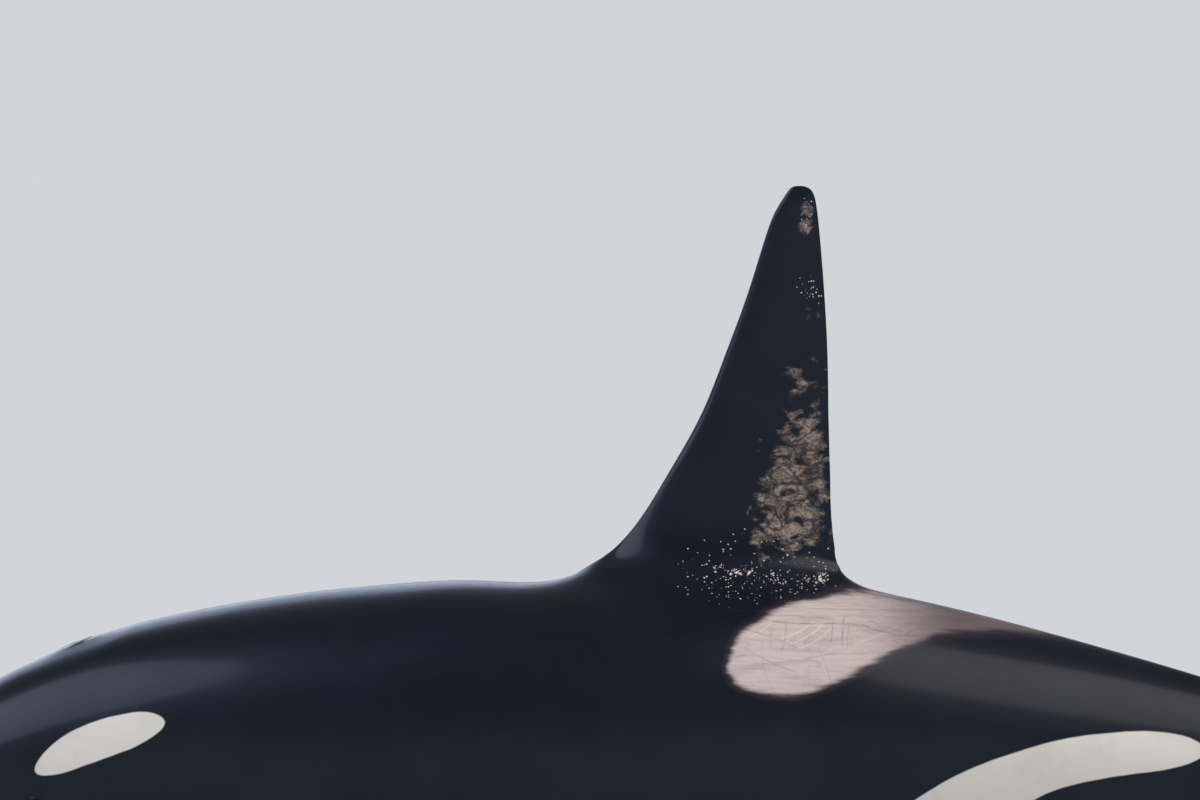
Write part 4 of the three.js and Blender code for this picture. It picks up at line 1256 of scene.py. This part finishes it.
class ORCA_OT_collars(bpy.types.Operator):
    """Builds the turned collars at the feet of the rods, each with a stepped neck and a ring of bolts"""

    bl_idname = "orca.collars"
    bl_label = "Build the collars"

    def execute(self, context):
        settings = context.scene.orca_stand
        steel = steel_material(settings)
        for end in ("front", "rear"):
            low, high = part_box("stand_collar_" + end)
            rod_low, rod_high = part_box("stand_rod_" + end)
            foot = Vector(((low.x + high.x) / 2, 0, low.z))
            radius = (high.x - low.x) / 2
            tube = (rod_high.x - rod_low.x) / 2
            tall = high.z - low.z
            flange = self.flange("stand_flange_" + end, foot, radius, tube, tall)
            reach = (radius + tube + 0.018) / 2
            heads = []
            for k in range(settings.bolts):
                turn = 2 * math.pi * (k + 0.5) / settings.bolts
                bolt_foot = foot + Vector((reach * math.cos(turn), reach * math.sin(turn), tall * 0.6))
                heads += self.bolt(bolt_foot, turn)
            bpy.ops.object.select_all(action="DESELECT")
            for piece in [*heads, flange]:
                piece.select_set(True)
            bpy.context.view_layer.objects.active = flange
            bpy.ops.object.join()
            bpy.ops.object.shade_smooth_by_angle(angle=SHARP_ANGLE)
            flange.data.materials.append(steel)
            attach(flange, "root")
            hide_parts("stand_collar_" + end)
        return {"FINISHED"}

    def flange(self, name, foot, radius, tube, tall):
        """A disc, with a neck that steps up to the tube."""
        leave_nothing_selected()
        bpy.ops.mesh.primitive_cylinder_add(
            vertices=96,
            radius=radius,
            depth=tall * 0.6,
            end_fill_type="NGON",
            location=foot + Vector((0, 0, tall * 0.3)),
        )
        flange = bpy.context.object
        flange.name = name
        place_mesh(flange)
        select_parts(flange, "FACE", [face.index for face in flange.data.polygons if face.normal.z > 0.9])
        bpy.ops.mesh.inset(thickness=radius - tube - COLLAR_STEPS[0])
        bpy.ops.transform.translate(value=(0, 0, 0.0001))
        for rise, step in zip((0.3, 0.1), COLLAR_STEPS[1:]):
            bpy.ops.mesh.extrude_region_move(TRANSFORM_OT_translate={"value": (0, 0, tall * rise)})
            bpy.ops.mesh.inset(thickness=step)
        end_edit()
        edges = flange.modifiers.new("edges", "BEVEL")
        edges.width = COLLAR_EDGE
        edges.segments = 3
        edges.limit_method = "ANGLE"
        edges.angle_limit = math.radians(30)
        bpy.ops.object.modifier_apply(modifier=edges.name)
        return flange

    def bolt(self, place, turn):
        """A washer and a six-sided head with soft edges."""
        pieces = []
        for sides, (radius, thick), rise in ((24, WASHER, 0.001), (6, BOLT_HEAD, 0.0057)):
            bpy.ops.object.select_all(action="DESELECT")
            bpy.ops.mesh.primitive_cylinder_add(
                vertices=sides,
                radius=radius,
                depth=thick,
                location=place + Vector((0, 0, rise)),
                rotation=(0, 0, turn if sides == 6 else 0),
            )
            piece = bpy.context.object
            place_mesh(piece)
            pieces.append(piece)
        bevel_edges(pieces[1], range(len(pieces[1].data.edges)), BOLT_EDGE, 2)
        return pieces


class ORCA_OT_stage(bpy.types.Operator):
    """Lays the floor and sets the lights and the camera"""

    bl_idname = "orca.stage"
    bl_label = "Set the stage"

    def execute(self, context):
        settings = context.scene.orca_stage
        scene = context.scene
        leave_nothing_selected()
        bpy.ops.mesh.primitive_plane_add(size=FLOOR_SIZE, location=(0, 0, -FLOOR_DROP))
        floor = bpy.context.object
        floor.name = "floor"
        place_mesh(floor)
        material, add = new_material("floor_matt_paint")
        coordinates = add("TexCoord").outputs["Object"]
        clouds = add("TexNoise", coordinates, Scale=0.4, Detail=3.0)
        colour = add("Mix", clouds, tuple(settings.floor), darker(settings.floor, 0.96), **COLOURS)
        add("OutputMaterial", add("BsdfPrincipled", Base_Color=colour, Roughness=0.9, Specular_IOR_Level=0.1))
        floor.data.materials.append(material)

        # The light all round is as bright as the floor at eye level, and dimmer overhead, so that black stays black
        world = bpy.data.worlds.new("studio")
        scene.world = world
        world.use_nodes = True
        tree = world.node_tree
        background = tree.nodes["Background"]
        background.inputs["Color"].default_value = tuple(settings.wall)
        way = add_node(tree, "TexCoord").outputs["Generated"]
        rise = add_node(tree, "SeparateXYZ", way).outputs["Z"]
        glow = add_node(tree, "MapRange", rise, *SKY_RISE, *SKY_STRENGTH)
        tree.links.new(glow.outputs["Result"], background.inputs["Strength"])

        for name, toward, power, width, colour in LAMPS:
            leave_nothing_selected()
            bpy.ops.object.light_add(type="SUN", location=Vector(toward) * 20)
            lamp = bpy.context.object
            lamp.name = name
            lamp.data.energy = power
            lamp.data.angle = math.radians(width)
            lamp.data.color = linear(colour)[:3]
            lamp.rotation_euler = Vector(toward).to_track_quat("Z", "Y").to_euler()

        bpy.ops.object.camera_add(location=(CAMERA_X, settings.distance, settings.height))
        camera = bpy.context.object
        camera.name = "camera"
        camera.rotation_euler = (math.pi / 2 - settings.pitch, 0, math.pi)
        camera.data.lens = settings.lens
        camera.data.sensor_width = SENSOR_WIDTH
        camera.data.clip_start, camera.data.clip_end = VIEW_RANGE
        camera.data.dof.use_dof = False
        scene.camera = camera
        scene.view_settings.view_transform = "Standard"
        return {"FINISHED"}


class ORCA_PT_panel(bpy.types.Panel):
    """Lists the pieces and their settings"""

    bl_label = "Orca"
    bl_idname = "ORCA_PT_panel"
    bl_space_type = "VIEW_3D"
    bl_region_type = "UI"
    bl_category = "Orca"

    def draw(self, context):
        for settings, operators in OPERATORS.items():
            box = self.layout.box()
            for operator in operators:
                box.operator(operator)
            group = getattr(context.scene, settings)
            for name in group.__annotations__:
                box.prop(group, name)


OPERATORS = {
    "orca_stage": ("orca.stage",),
    "orca_skin": ("orca.skin",),
    "orca_eye": ("orca.eyes",),
    "orca_stand": ("orca.base", "orca.rods", "orca.collars"),
}
GROUPS = {
    "orca_skin": OrcaSkinSettings,
    "orca_eye": OrcaEyeSettings,
    "orca_stand": OrcaStandSettings,
    "orca_stage": OrcaStageSettings,
}
CLASSES = (
    *GROUPS.values(),
    ORCA_OT_skin,
    ORCA_OT_eyes,
    ORCA_OT_base,
    ORCA_OT_rods,
    ORCA_OT_collars,
    ORCA_OT_stage,
    ORCA_PT_panel,
)


def register():
    for cls in CLASSES:
        bpy.utils.register_class(cls)
    for name, group in GROUPS.items():
        setattr(bpy.types.Scene, name, PointerProperty(type=group))


def unregister():
    for name in GROUPS:
        delattr(bpy.types.Scene, name)
    for cls in reversed(CLASSES):
        bpy.utils.unregister_class(cls)


def main():
    register()
    bpy.ops.orca.stage()
    bpy.ops.orca.skin()
    bpy.ops.orca.eyes()
    bpy.ops.orca.base()
    bpy.ops.orca.rods()
    bpy.ops.orca.collars()


if __name__ == "__main__":
    main()
